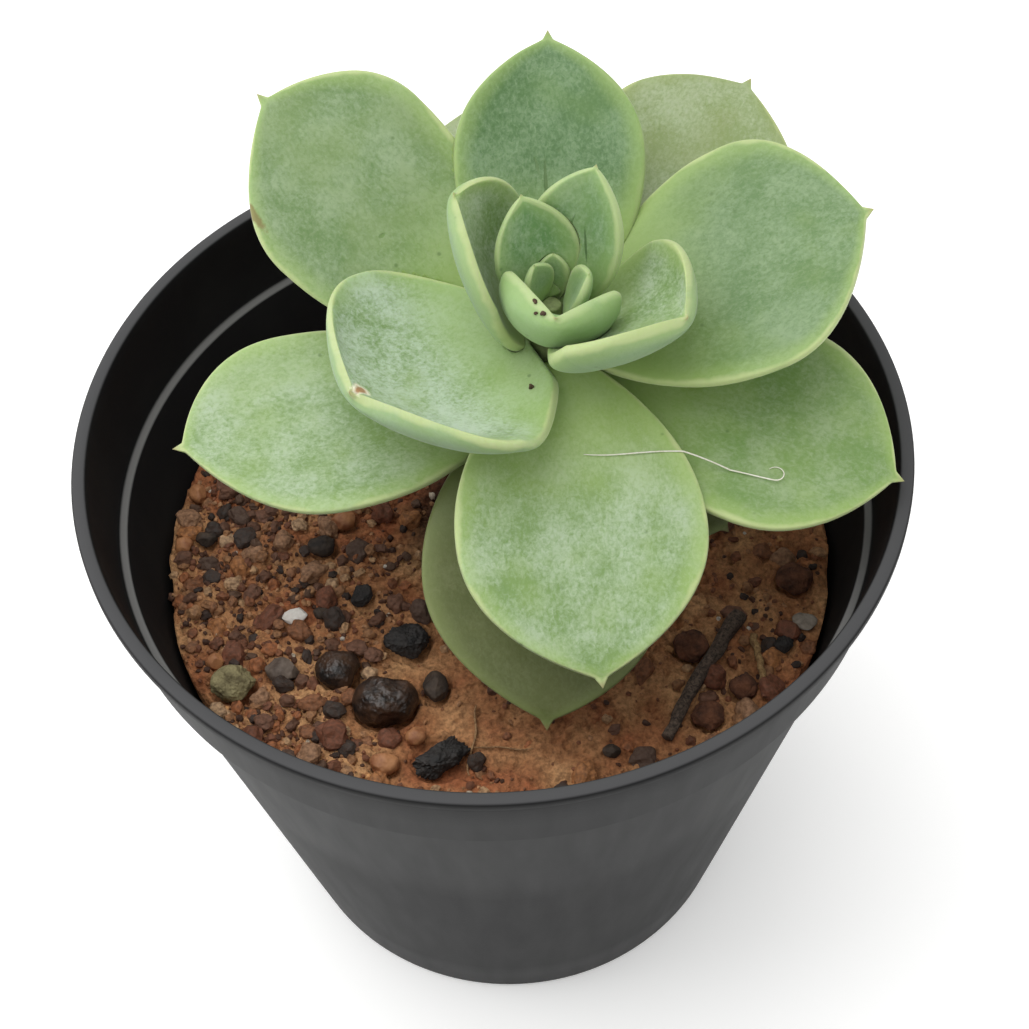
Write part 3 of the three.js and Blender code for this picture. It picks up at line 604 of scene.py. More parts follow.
for node, look in sticks.items():
    low, high = [Vector(corner) * 1000 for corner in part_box(node)]
    inset = look["radius"] * 0.8
    flip = node == "straw"
    start = Vector((low.x + inset if flip else high.x - inset, high.y - inset, (low.z + high.z) / 2 + 0.2))
    end = Vector((high.x - inset if flip else low.x + inset, low.y + inset, (low.z + high.z) / 2 - 0.2))
    aside = (end - start).cross(Vector((0, 0, 1))).normalized()
    line = []
    for k in range(look["steps"] + 1):
        t = k / look["steps"]
        bend = look["bow"] * (t * (1 - t)) + 0.5 * noise.noise(Vector((t * 5, len(node), 0)))
        line.append(start.lerp(end, t) + aside * bend)
    mesh = tubeMesh(node, line, lambda t, look=look: look["radius"] * (1.2 - look["taper"] * t), look["sides"],
                    look["ridges"], len(node))
    place(node + "_stick", mesh, look["slot"], [node], stickMaterial(f"weathered {node}", look["colours"]))
print("sticks made")

# The soil, sunk under the stones, chips and clods that lie in it, and its grains.
sunk = []
for node in [*stoneKindOf, "twig"]:
    low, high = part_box(node)
    if node != "twig":
        sunk.append(([v * 1000 - 0.1 for v in low], [v * 1000 + 0.1 for v in high], low.z * 1000 - 0.1))
soilBed = soilMesh(sunk)
strew = strewTree()
for name, look in grains.items():
    values = {"Size": mm(look["size"]), "Spread": look["spread"], "Spacing": mm(look["spacing"]),
              "Density": look["density"] * 1e6, "Rough": look["rough"], "Faces": look["faces"],
              "Seed": look["seed"],
              "Finish": gritMaterial(look["kind"])}
    values["Finish"].name = name.replace("_", " ")
    grainMesh = grow(name, strew, values, soilBed)
    place(name, grainMesh, "potting_soil")
    print(name, len(grainMesh.polygons), "faces")
place("soil_bed", soilBed, "potting_soil", ["soil"], dampSoil())
print("soil made")

# Stem: upright in the soil, then along the leaning crown, with the scars of fallen leaves.
stem = {
    "radius": 3.8, "tipRadius": 1.3, "crownHeight": 17, "lean": 12, "upright": 0.6, "rootDepth": 12,
    "sides": 48, "steps": 150, "scar": 0.5, "scarGap": 3.2, "bark": "#6E5F49", "young": "#8C9A66",
}
stemLow, stemHigh = [Vector(corner) * 1000 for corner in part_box("stem")]
leanAngle = math.radians(stem["lean"])
crownAxis = Vector((0, -math.sin(leanAngle), math.cos(leanAngle)))
crownTip = Vector(((stemLow.x + stemHigh.x) / 2, stemLow.y + stem["tipRadius"] * math.cos(leanAngle),
                   stemHigh.z - stem["tipRadius"] * math.sin(leanAngle)))
crownFoot = crownTip - crownAxis * stem["crownHeight"]
crownFrame = Matrix.Translation(crownFoot * 0.001) @ Matrix.Rotation(leanAngle, 4, "X")
print("crown at", [round(v, 2) for v in crownFoot])


def crownRadius(seat):
    share = min(max(seat / stem["crownHeight"], 0), 1)
    return stem["radius"] + (stem["tipRadius"] - stem["radius"]) * share ** 2


def stemMesh():
    low = crownFoot - crownAxis * (crownFoot.z - soilLevel) * stem["upright"]
    root = Vector((low.x, low.y + 1, soilLevel - stem["rootDepth"]))
    rings = []
    for k in range(stem["steps"] + 1):
        t = k / stem["steps"] * 3
        if t < 1:
            centre = root.lerp(low, t)
        elif t < 2:
            centre = low.lerp(crownFoot, t - 1)
        else:
            centre = crownFoot.lerp(crownTip, t - 2)
        seat = (centre - crownFoot).dot(crownAxis)
        ring = []
        for s in range(stem["sides"]):
            angle = 2 * math.pi * s / stem["sides"]
            scars = math.sin(centre.z / stem["scarGap"] * 2 * math.pi + 2 * math.sin(angle * 2 + centre.z))
            rough = noise.noise(Vector((math.cos(angle) * 2, math.sin(angle) * 2, centre.z / 2)))
            radius = crownRadius(seat) - 0.25 + stem["scar"] * (0.35 * scars + rough) * (1 if seat < 0 else 0.2)
            ring.append(centre + Vector((math.cos(angle), math.sin(angle), 0)) * radius)
        rings.append(ring)
    points, faces = skinOf(rings)
    return meshOf("stem", [p * 0.001 for p in points], faces)


def corkyStem():  # old succulent stem: dry corky brown, ringed where leaves fell, greener at the crown
    material, tree, shader, spot = newMaterial("corky stem skin")
    cork = addNode(tree, "ShaderNodeTexNoise", {"Vector": spot, "Scale": 1 / mm(1.2), "Detail": 6.0})
    high = addNode(tree, "ShaderNodeSeparateXYZ", {0: spot})
    green = addNode(tree, "ShaderNodeMapRange", {"Value": high.outputs["Z"], "From Min": mm(crownFoot.z - 6),
                                                 "From Max": mm(crownFoot.z + 4)})
    colour = addNode(tree, "ShaderNodeMix", {0: green.outputs[0], 6: linear(stem["bark"]),
                                             7: linear(stem["young"])}, data_type="RGBA")
    shade = addNode(tree, "ShaderNodeMapRange", {"Value": cork.outputs[0], "From Min": 0.3, "From Max": 0.6,
                                                 "To Min": 0.6, "To Max": 0.0})
    dark = addNode(tree, "ShaderNodeMix", {0: shade.outputs[0], 6: colour.outputs[2], 7: linear("#2E2419")},
                   data_type="RGBA")
    bump = addNode(tree, "ShaderNodeBump", {"Height": cork.outputs[0], "Strength": 0.7, "Distance": mm(0.3)})
    tree.links.new(dark.outputs[2], shader.inputs["Base Color"])
    tree.links.new(bump.outputs[0], shader.inputs["Normal"])
    shader.inputs["Roughness"].default_value = 0.8
    return material


place("stem_skin", stemMesh(), "woody_stem", ["stem"], corkyStem())

# Leaves: every blade follows one rule, so one geometry tree makes them all. Sizes in mm and degrees.
leafShape = {
    "bladeEnd": 0.97, "spine": 0.05, "opening": 0.8, "closing": 2.3, "rootCup": 0.55,
    "thinning": 0.4, "sharpness": 0.45, "upperBulge": 0.35, "lowerBulge": 0.65, "upperFullness": 0.55,
    "lowerFullness": 0.75, "crowding": 1.5, "dents": 0.5, "dentSize": 9, "clearance": 0.12,
}
leafRows = """
leaf_back_low        old    100 0.5  41   28   4     -4   0   0   0  12 0.54 0.2  0.85
leaf_front_low       old    263 1    41.5 30   4    -14  -8   7   0  10 0.54 0.2  0.85
leaf_front_right_low old    315 1.5  26.5 22   3.5   -9 -10   0   0  12 0.6  0.25 0.85
leaf_right_low       grown  335 3.5  42   28   4.5    7 -12   0   0  14 0.58 0.2  0.85
leaf_back_right_low  old     48 3    43   30   4      7   0  12   0  12 0.62 0.2  0.85
leaf_left_low        grown  199 2    44   26   4.5    4 -10 -18   0  14 0.6  0.2  0.85
leaf_back_left       grown  144 4.5  45   27.5 4.5   22  -5 -10 -16  14 0.64 0.2  0.85
leaf_back            grown   88 7    36   24   4.5   24   0   0   0  22 0.54 0.2  0.85
leaf_right           grown   10 7.5  38.5 31.5 4.5   22  -8   8   0  18 0.6  0.2  0.85
leaf_front           grown  275 8    40.5 30   4.5   -2 -12   0   0  14 0.54 0.2  0.85
cupped_leaf_left     grown  210 10   26.5 36   4.5  -18  74 -10  10  42 0.5  0.4  0.45
inner_leaf_back_left grown  151 8.5  22.5 18   4     52  20 -12  14  55 0.55 0.4  0.55
inner_leaf_right     grown  334 12   19.5 24   5     30  26   0 -14  58 0.5  0.4  0.55
inner_leaf_back      young   62 13.5 19   12.5 4     55   8   0   0  35 0.46 0.3  0.85
heart_leaf_front     young  271 14.5 11   18   5     60  14   0 -14  80 0.54 0.3  0.85
heart_leaf_back      young  110 15.5 14   11   3     54   8   0   0  35 0.42 0.3  0.85
bud_leaf_right       young  355 16   8.5  6    3.6   66  12   0   0  30 0.5  0.3  0.85
bud_leaf_left        young  135 16.2 6.6  4.8  3     75  10   0   0  30 0.5  0.3  0.85
bud_leaf_back        young   85 14.5 7.4  4.2  2.8   66  15   0   0  30 0.5  0.3  0.85
"""
leafFields = ("Turn", "Seat", "Length", "Width", "Thickness", "Rise", "Curl", "Swerve", "Bank", "Cup",
              "Widest", "Root", "Rounding")


def leafTree():
    tree, given, leave = newTree("leaf blade", ("Length", "Width", "Thickness", "Rise", "Curl", "Swerve", "Bank",
                                                "Cup", "Widest", "Root", "Rounding", "Foot", "Margin",
                                                "Rings", "Sides", "Seed"), ("Rings", "Sides"))
    tube = addNode(tree, "GeometryNodeMeshCylinder",
                   {"Vertices": given["Sides"], "Side Segments": given["Rings"], "Radius": 1.0, "Depth": 1.0},
                   fill_type="TRIANGLE_FAN")
    raw = addNode(tree, "ShaderNodeSeparateXYZ", {0: addNode(tree, "GeometryNodeInputPosition").outputs[0]})
    value = {"x": raw.outputs[0], "y": raw.outputs[1], "height": raw.outputs[2]}
    shape = leafShape
    upperLess = shape["upperBulge"] - shape["lowerBulge"]
    fullerUp = shape["upperFullness"] - shape["lowerFullness"]
    # One sum a row: result, operation, terms. Across the tube x runs margin to margin and y up the blade's
    # skin; t runs from the root to the tip.
    rule = [
        ("u", "ADD", "height", 0.5), ("left", "SUBTRACT", 1, "u"), ("crowded", "POWER", "left", shape["crowding"]),
        ("t", "SUBTRACT", 1, "crowded"),
        # half width: opens from the root, closes round to the tip, and ends in a short spine
        ("toWidest", "DIVIDE", "t", "Widest"), ("opened", "MINIMUM", "toWidest", 1),
        ("quarter", "MULTIPLY", "opened", math.pi / 2), ("swelling", "SINE", "quarter"),
        ("opening", "POWER", "swelling", shape["opening"]), ("rest", "SUBTRACT", 1, "Root"),
        ("body", "MULTIPLY_ADD", "rest", "opening", "Root"), ("past", "SUBTRACT", "t", "Widest"),
        ("span", "SUBTRACT", shape["bladeEnd"], "Widest"), ("gone", "DIVIDE", "past", "span"),
        ("atLeast", "MAXIMUM", "gone", 0), ("closing", "MINIMUM", "atLeast", 1),
        ("closed", "POWER", "closing", shape["closing"]), ("open", "SUBTRACT", 1, "closed"),
        ("rounded", "POWER", "open", "Rounding"), ("blade", "MULTIPLY", "body", "rounded"),
        ("tipLeft", "SUBTRACT", 1, "t"), ("tipShare", "DIVIDE", "tipLeft", 1 - shape["bladeEnd"]),
        ("tipFade", "MINIMUM", "tipShare", 1), ("spike", "MULTIPLY", "tipFade", shape["spine"]),
        ("isPast", "GREATER_THAN", "past", 0), ("spine", "MULTIPLY", "spike", "isPast"),
        ("bladeSquare", "MULTIPLY", "blade", "blade"), ("both", "MULTIPLY_ADD", "spine", "spine", "bladeSquare"),
        ("share", "SQRT", "both"), ("halfWidth", "MULTIPLY", "Width", 0.5), ("half", "MULTIPLY", "halfWidth", "share"),
        # cup: the width follows an arc
        ("twice", "MULTIPLY", "t", 2), ("grown", "MINIMUM", "twice", 1),
        ("cupShare", "MULTIPLY_ADD", "grown", 1 - shape["rootCup"], shape["rootCup"]), ("cupFull", "RADIANS", "Cup"),
        ("cup", "MULTIPLY", "cupFull", "cupShare"), ("lean", "MULTIPLY", "cup", "x"), ("sinLean", "SINE", "lean"),
        ("cosLean", "COSINE", "lean"),
        # skin: how far the surface stands off the arc, full in the middle and round at the margins
        ("edgeRoom", "MULTIPLY_ADD", "Thickness", shape["sharpness"], "half"), ("edge", "DIVIDE", "half", "edgeRoom"),
        ("thinner", "MULTIPLY_ADD", "t", -shape["thinning"], 1), ("thickest", "MULTIPLY", "Thickness", "thinner"),
        ("thick", "MULTIPLY", "thickest", "edge"), ("isUpper", "GREATER_THAN", "y", 0),
        ("bulge", "MULTIPLY_ADD", "isUpper", upperLess, shape["lowerBulge"]), ("off", "ABSOLUTE", "y"),
        ("fullness", "MULTIPLY_ADD", "isUpper", fullerUp, shape["lowerFullness"]), ("full", "POWER", "off", "fullness"),
        ("plump", "MULTIPLY", "full", "thick"), ("plumpSide", "MULTIPLY", "plump", "bulge"),
        ("skinned", "MULTIPLY_ADD", "Margin", "off", "plumpSide"), ("upOrDown", "SIGN", "y"),
        ("skin", "MULTIPLY", "upOrDown", "skinned"), ("arcRadius", "DIVIDE", "half", "cup"),
        ("bowed", "MULTIPLY", "arcRadius", "sinLean"), ("reach", "MULTIPLY_ADD", "Margin", "x", "bowed"),
        ("tucked", "MULTIPLY", "skin", "sinLean"), ("across", "SUBTRACT", "reach", "tucked"),
        ("fall", "SUBTRACT", 1, "cosLean"), ("sag", "MULTIPLY", "arcRadius", "fall"),
        ("lift", "MULTIPLY_ADD", "skin", "cosLean", "sag"),
        # bank: the blade rolls about its middle line
        ("roll", "RADIANS", "Bank"), ("sinRoll", "SINE", "roll"), ("cosRoll", "COSINE", "roll"),
        ("levelPart", "MULTIPLY", "across", "cosRoll"), ("rolledPart", "MULTIPLY", "lift", "sinRoll"),
        ("sideways", "SUBTRACT", "levelPart", "rolledPart"), ("raised", "MULTIPLY", "across", "sinRoll"),
        ("above", "MULTIPLY_ADD", "lift", "cosRoll", "raised"),
        # middle line: rises from the root, curls and swerves
        ("rise", "RADIANS", "Rise"), ("curl", "RADIANS", "Curl"), ("bend", "ADD", "curl", 0.002),
        ("angle", "MULTIPLY_ADD", "bend", "t", "rise"), ("sinAngle", "SINE", "angle"),
        ("cosAngle", "COSINE", "angle"), ("sinRise", "SINE", "rise"), ("cosRise", "COSINE", "rise"),
        ("runs", "SUBTRACT", "sinAngle", "sinRise"), ("running", "MULTIPLY", "runs", "Length"),
        ("outward", "DIVIDE", "running", "bend"), ("climbs", "SUBTRACT", "cosRise", "cosAngle"),
        ("climbing", "MULTIPLY", "climbs", "Length"), ("upward", "DIVIDE", "climbing", "bend"),
        ("turning", "RADIANS", "Swerve"), ("tSquare", "MULTIPLY", "t", "t"), ("swerve", "MULTIPLY", "turning", "tSquare"),
        ("swerving", "MULTIPLY", "swerve", "Length"), ("sway", "MULTIPLY", "swerving", 0.5),
        ("back", "MULTIPLY", "above", "sinAngle"), ("ahead", "SUBTRACT", "outward", "back"),
        ("placeX", "ADD", "ahead", "Foot"), ("placeY", "ADD", "sideways", "sway"),
        ("placeZ", "MULTIPLY_ADD", "above", "cosAngle", "upward"),
        # what the finish reads: signed distance from the middle line, distance from the root and the margin
        ("fromMiddle", "MULTIPLY", "half", "x"), ("fromRoot", "MULTIPLY", "t", "Length"),
        ("inward", "ABSOLUTE", "x"), ("inside", "SUBTRACT", 1, "inward"), ("fromMargin", "MULTIPLY", "inside", "half"),
        ("fade", "MULTIPLY", "tipFade", shape["dents"] / 1000),
    ]
    for name, operation, *terms in rule:
        sockets = {}
        for k, term in enumerate(terms):
            sockets[k] = term if not isinstance(term, str) else value[term] if term in value else given[term]
        value[name] = addNode(tree, "ShaderNodeMath", sockets, operation=operation).outputs[0]
    blade = addNode(tree, "ShaderNodeCombineXYZ", {0: value["fromMiddle"], 1: value["fromRoot"],
                                                   2: value["fromMargin"]})
    marked = addNode(tree, "GeometryNodeStoreNamedAttribute",
                     {"Geometry": tube.outputs[0], "Name": "blade", "Value": blade.outputs[0]},
                     data_type="FLOAT_VECTOR", domain="POINT")
    sided = addNode(tree, "GeometryNodeStoreNamedAttribute",
                    {"Geometry": marked.outputs[0], "Name": "upper", "Value": value["y"]},
                    data_type="FLOAT", domain="POINT")
    dented = addNode(tree, "GeometryNodeStoreNamedAttribute",
                     {"Geometry": sided.outputs[0], "Name": "dent", "Value": value["fade"]},
                     data_type="FLOAT", domain="POINT")
    spot = addNode(tree, "ShaderNodeCombineXYZ", {0: value["placeX"], 1: value["placeY"], 2: value["placeZ"]})
    formed = addNode(tree, "GeometryNodeSetPosition", {"Geometry": dented.outputs[0], "Position": spot.outputs[0]})
    sewn = addNode(tree, "GeometryNodeMergeByDistance", {"Geometry": formed.outputs[0], "Distance": mm(0.002)})
    # shallow dents, the same above and below so that the blade keeps its thickness
    waves = addNode(tree, "ShaderNodeTexNoise",
                    {"Vector": addNode(tree, "GeometryNodeInputPosition").outputs[0], "W": given["Seed"],
                     "Scale": 1 / mm(shape["dentSize"]), "Detail": 1.5}, noise_dimensions="4D")
    middle = addNode(tree, "ShaderNodeMath", {0: waves.outputs[0], 1: 0.5}, operation="SUBTRACT")
    depth = addNode(tree, "GeometryNodeInputNamedAttribute", {"Name": "dent"}, data_type="FLOAT")
    push = addNode(tree, "ShaderNodeMath", {0: middle.outputs[0], 1: depth.outputs[0]}, operation="MULTIPLY")
    shift = addNode(tree, "ShaderNodeCombineXYZ", {2: push.outputs[0]})
    waved = addNode(tree, "GeometryNodeSetPosition", {"Geometry": sewn.outputs[0], "Offset": shift.outputs[0]})
    whole = addNode(tree, "GeometryNodeRealizeInstances", {0: waved.outputs[0]})
    smooth = addNode(tree, "GeometryNodeSetShadeSmooth", {0: whole.outputs[0]})
    dressed = addNode(tree, "GeometryNodeSetMaterial", {0: smooth.outputs[0], "Material": given["Finish"]})
    tree.links.new(dressed.outputs[0], leave.inputs[0])
    return tree


# Leaf finishes. Marks are (across, along, turn, length, width, colour, strength) in mm on the blade.
leafLooks = {
    "grown": {"slot": "grown_leaf", "green": "#6F8D4E", "bloom": "#A6B898", "margin": "#B9C48C",
              "root": "#9DB766", "sun": "#87A252", "under": "#849F78",
              "bloomShare": 0.50},
    "young": {"slot": "young_leaf", "green": "#668A55", "bloom": "#9AB18F", "margin": "#B4C38C",
              "root": "#95B26B", "sun": "#7C9B57", "under": "#8DAA7C",
              "bloomShare": 0.50},
    "old": {"slot": "old_leaf", "green": "#7C8F55", "bloom": "#A1AD8A", "margin": "#A9B27A",
            "root": "#8A985A", "sun": "#7F8C4E", "under": "#7F8D60",
            "bloomShare": 0.45},
}
leafTones = {  # what differs from one leaf to the next
    "leaf_back": {"green": "#4A6E3B", "bloom": "#7C966F", "sun": "#62823F", "margin": "#94A96A", "bloomShare": 0.4},
    "leaf_right": {"green": "#597A43", "bloom": "#869D76", "sun": "#77924A"},
    "leaf_right_low": {"green": "#6A8A47", "bloom": "#91A57B", "bloomShare": 0.42},
    "leaf_back_left": {"green": "#617F47", "bloom": "#8DA17B", "sun": "#788F50"},
    "leaf_front_low": {"green": "#626C38", "sun": "#666E34", "bloom": "#7A8254", "margin": "#868F5A", "bloomShare": 0.35},
    "leaf_front_right_low": {"green": "#5B6536", "sun": "#5E6632", "bloom": "#6F784F", "margin": "#798052"},
    "cupped_leaf_left": {"bloomShare": 0.62, "bloom": "#B4C6AE", "root": "#92AE66"},
    "heart_leaf_front": {"green": "#6F9453", "under": "#8EAC70", "margin": "#B4C48C"},
    "heart_leaf_back": {"green": "#5C864C", "bloomShare": 0.35},
    "inner_leaf_back": {"bloomShare": 0.4},
    "bud_leaf_right": {"under": "#93B47A"},
}
leafMarks = {
    "leaf_back": [(0.5, 17, 88, 6, 0.5, "#4E6A35", 0.75), (1.6, 19, 75, 2.5, 0.4, "#55703B", 0.5)],
    "inner_leaf_back": [(-1.5, 9, 70, 4.2, 0.35, "#41602F", 0.8), (1.2, 10.5, 100, 3.6, 0.3, "#4B6A38", 0.7)],
    "leaf_back_left": [(11.2, 36.5, 100, 6, 1.2, "#7A6B3A", 0.8), (2, 22, 20, 1, 0.5, "#5F7F3C", 0.7)],
    "cupped_leaf_left": [(0, 25, 0, 2.6, 2.2, "#E3DFC6", 0.95), (0, 25, 30, 1.7, 1.4, "#9A6E42", 0.95)],
    "leaf_right_low": [(3, 15, 40, 6, 2.6, "#7F9A45", 0.6)],
    "leaf_left_low": [(-8, 18, 20, 2.2, 0.35, "#6F5B39", 0.8)],
}


def leafMaterial(name, kind, length):  # waxy leaf skin: matte grey-green under a bluish powder of bloom
    look = {**leafLooks[kind], **leafTones.get(name, {})}
    material, tree, shader, spot = newMaterial(f"waxy skin of {name}".replace("_", " "))
    blade = addNode(tree, "ShaderNodeAttribute", attribute_name="blade")
    upper = addNode(tree, "ShaderNodeAttribute", attribute_name="upper")
    parts = addNode(tree, "ShaderNodeSeparateXYZ", {0: blade.outputs["Vector"]})
    brushed = addNode(tree, "ShaderNodeMapping", {"Vector": blade.outputs["Vector"], "Scale": (1, 0.7, 0.3)})
    patches = addNode(tree, "ShaderNodeTexNoise", {"Vector": spot, "Scale": 1 / mm(6), "Detail": 3.0,
                                                   "Roughness": 0.55})
    grain = addNode(tree, "ShaderNodeTexNoise", {"Vector": spot, "Scale": 1 / mm(0.55), "Detail": 4.0,
                                                 "Roughness": 0.7, "Distortion": 1.2})
    streaks = addNode(tree, "ShaderNodeTexNoise", {"Vector": brushed.outputs[0], "Scale": 1 / mm(0.5),
                                                   "Detail": 2.0, "Distortion": 0.5})
    powder = addNode(tree, "ShaderNodeMath", {0: grain.outputs[0], 1: streaks.outputs[0]}, operation="ADD")
    powdered = addNode(tree, "ShaderNodeMath", {0: patches.outputs[0], 1: 1.4, 2: powder.outputs[0]},
                       operation="MULTIPLY_ADD")
    middle = 2.2 - look["bloomShare"]
    bloom = addNode(tree, "ShaderNodeMapRange", {"Value": powdered.outputs[0], "From Min": middle - 0.5,
                                                 "From Max": middle + 0.5}, interpolation_type="SMOOTHSTEP")
    skin = addNode(tree, "ShaderNodeMix", {0: bloom.outputs[0], 6: linear(look["green"]),
                                           7: linear(look["bloom"])}, data_type="RGBA")
    # broad patches of yellower green
    broad = addNode(tree, "ShaderNodeTexNoise", {"Vector": spot, "Scale": 1 / mm(11), "Detail": 3.0})
    sunned = addNode(tree, "ShaderNodeMapRange", {"Value": broad.outputs[0], "From Min": 0.46, "From Max": 0.66,
                                                  "To Max": 0.35}, interpolation_type="SMOOTHSTEP")
    skin = addNode(tree, "ShaderNodeMix", {0: sunned.outputs[0], 6: skin.outputs[2], 7: linear(look["sun"])},
                   data_type="RGBA")
    # yellower towards the root, its own colour, and paler there as painted light against the shade of the leaves above
    toRoot = addNode(tree, "ShaderNodeMapRange", {"Value": parts.outputs[1], "From Min": mm(length * 0.18),
                                                  "From Max": mm(length * 0.55), "To Min": 0.7, "To Max": 0.0},
                     interpolation_type="SMOOTHSTEP")
    rooted = addNode(tree, "ShaderNodeMix", {0: toRoot.outputs[0], 6: skin.outputs[2], 7: linear(look["root"])},
                     data_type="RGBA")
    # bluish underside
    below = addNode(tree, "ShaderNodeMapRange", {"Value": upper.outputs["Fac"], "From Min": -0.35,
                                                 "From Max": 0.05, "To Min": 0.75, "To Max": 0.0})
    turned = addNode(tree, "ShaderNodeMix", {0: below.outputs[0], 6: rooted.outputs[2], 7: linear(look["under"])},
                     data_type="RGBA")
    # a yellow flush and then a pale margin, their widths uneven
    uneven = addNode(tree, "ShaderNodeMath", {0: patches.outputs[0], 1: mm(2.4), 2: parts.outputs[2]},
                     operation="MULTIPLY_ADD")
    toFlush = addNode(tree, "ShaderNodeMapRange", {"Value": uneven.outputs[0], "From Min": mm(1.4),
                                                   "From Max": mm(4.5), "To Min": 0.45, "To Max": 0.0},
                      interpolation_type="SMOOTHSTEP")
    flushed = addNode(tree, "ShaderNodeMix", {0: toFlush.outputs[0], 6: turned.outputs[2],
                                              7: linear(look["root"])}, data_type="RGBA")
    toMargin = addNode(tree, "ShaderNodeMapRange", {"Value": uneven.outputs[0], "From Min": mm(1.2),
                                                    "From Max": mm(1.9), "To Min": 0.7, "To Max": 0.0},
                       interpolation_type="SMOOTHSTEP")
    edged = addNode(tree, "ShaderNodeMix", {0: toMargin.outputs[0], 6: flushed.outputs[2],
                                            7: linear(look["margin"])}, data_type="RGBA")
    # brown at the very tip
    toTip = addNode(tree, "ShaderNodeMapRange", {"Value": parts.outputs[1], "From Min": mm(length * 0.975),
                                                 "From Max": mm(length), "To Max": 0.6})
    last = addNode(tree, "ShaderNodeMix", {0: toTip.outputs[0], 6: edged.outputs[2], 7: linear("#8A6A45")},
                   data_type="RGBA")
    height = addNode(tree, "ShaderNodeMath", {0: powder.outputs[0], 1: 0.5}, operation="MULTIPLY")
    for across, along, turn, long, wide, hue, strength in leafMarks.get(name, []):
        local = addNode(tree, "ShaderNodeMapping", {"Vector": blade.outputs["Vector"],
                                                    "Location": (mm(across), mm(along), 0),
                                                    "Rotation": (0, 0, math.radians(turn)),
                                                    "Scale": (mm(long) / 2, mm(wide) / 2, 1e6)},
                        vector_type="TEXTURE")
        ragged = addNode(tree, "ShaderNodeTexNoise", {"Vector": spot, "Scale": 1 / mm(0.7), "Detail": 3.0})
        far = addNode(tree, "ShaderNodeVectorMath", {0: local.outputs[0]}, operation="LENGTH")
        fuzzy = addNode(tree, "ShaderNodeMath", {0: ragged.outputs[0], 1: 0.9, 2: far.outputs["Value"]},
                        operation="MULTIPLY_ADD")
        there = addNode(tree, "ShaderNodeMapRange", {"Value": fuzzy.outputs[0], "From Min": 1.15, "From Max": 1.6,
                                                     "To Min": strength, "To Max": 0.0})
        topOnly = addNode(tree, "ShaderNodeMath", {0: upper.outputs["Fac"], 1: -0.2}, operation="GREATER_THAN")
        shown = addNode(tree, "ShaderNodeMath", {0: there.outputs[0], 1: topOnly.outputs[0]},
                        operation="MULTIPLY")
        last = addNode(tree, "ShaderNodeMix", {0: shown.outputs[0], 6: last.outputs[2], 7: linear(hue)},
                       data_type="RGBA")
        height = addNode(tree, "ShaderNodeMath", {0: shown.outputs[0], 1: -1.5, 2: height.outputs[0]},
                         operation="MULTIPLY_ADD")
    # a few small dark green flecks where the powder has been rubbed off
    cells = addNode(tree, "ShaderNodeTexVoronoi", {"Vector": spot, "Scale": 1 / mm(2.6)})
    chance = addNode(tree, "ShaderNodeSeparateColor", {0: cells.outputs["Color"]})
    picked = addNode(tree, "ShaderNodeMath", {0: chance.outputs[0], 1: 0.8}, operation="GREATER_THAN")
    near = addNode(tree, "ShaderNodeMapRange", {"Value": cells.outputs["Distance"], "From Min": 0.05,
                                                "From Max": 0.13, "To Min": 0.55, "To Max": 0.0})
    fleck = addNode(tree, "ShaderNodeMath", {0: near.outputs[0], 1: picked.outputs[0]}, operation="MULTIPLY")
    last = addNode(tree, "ShaderNodeMix", {0: fleck.outputs[0], 6: last.outputs[2], 7: linear("#4F6B35")},
                   data_type="RGBA")
    rough = addNode(tree, "ShaderNodeMapRange", {"Value": bloom.outputs[0], "To Min": 0.42, "To Max": 0.62})
    bump = addNode(tree, "ShaderNodeBump", {"Height": height.outputs[0], "Strength": 0.5, "Distance": mm(0.12)})
    tree.links.new(last.outputs[2], shader.inputs["Base Color"])
    tree.links.new(rough.outputs[0], shader.inputs["Roughness"])
    tree.links.new(bump.outputs[0], shader.inputs["Normal"])
    shader.inputs["IOR"].default_value = 1.42
    shader.inputs["Subsurface Weight"].default_value = 0.18
    shader.inputs["Subsurface Radius"].default_value = (1.0, 1.6, 0.5)
    shader.inputs["Subsurface Scale"].default_value = mm(1.2)
    shader.inputs["Sheen Weight"].default_value = 0.12
    shader.inputs["Sheen Roughness"].default_value = 0.5
    return material


def leafMesh(name, row, margin, finish):
    large = row["Length"] > 15
    values = {"Rings": 100 if large else 60, "Sides": 112 if large else 72, "Seed": row["Turn"] * 0.37,
              "Foot": mm(crownRadius(row["Seat"]) + 0.1), "Margin": mm(margin), "Finish": finish}
    for size in ("Length", "Width", "Thickness"):
        values[size] = mm(row[size])
    for size in ("Rise", "Curl", "Swerve", "Bank", "Cup", "Widest", "Root", "Rounding"):
        values[size] = float(row[size])
    mesh = grow(name, leafRule, values)
    mesh.transform(crownFrame @ Matrix.Translation((0, 0, mm(row["Seat"])))
                   @ Matrix.Rotation(math.radians(row["Turn"]), 4, "Z"))
    tidy = bmesh.new()
    tidy.from_mesh(mesh)
    bmesh.ops.recalc_face_normals(tidy, faces=tidy.faces)
    tidy.to_mesh(mesh)
    tidy.free()
    return mesh


def boxOf(mesh):
    points = np.array([v.co for v in mesh.vertices])
    return points.min(0), points.max(0)


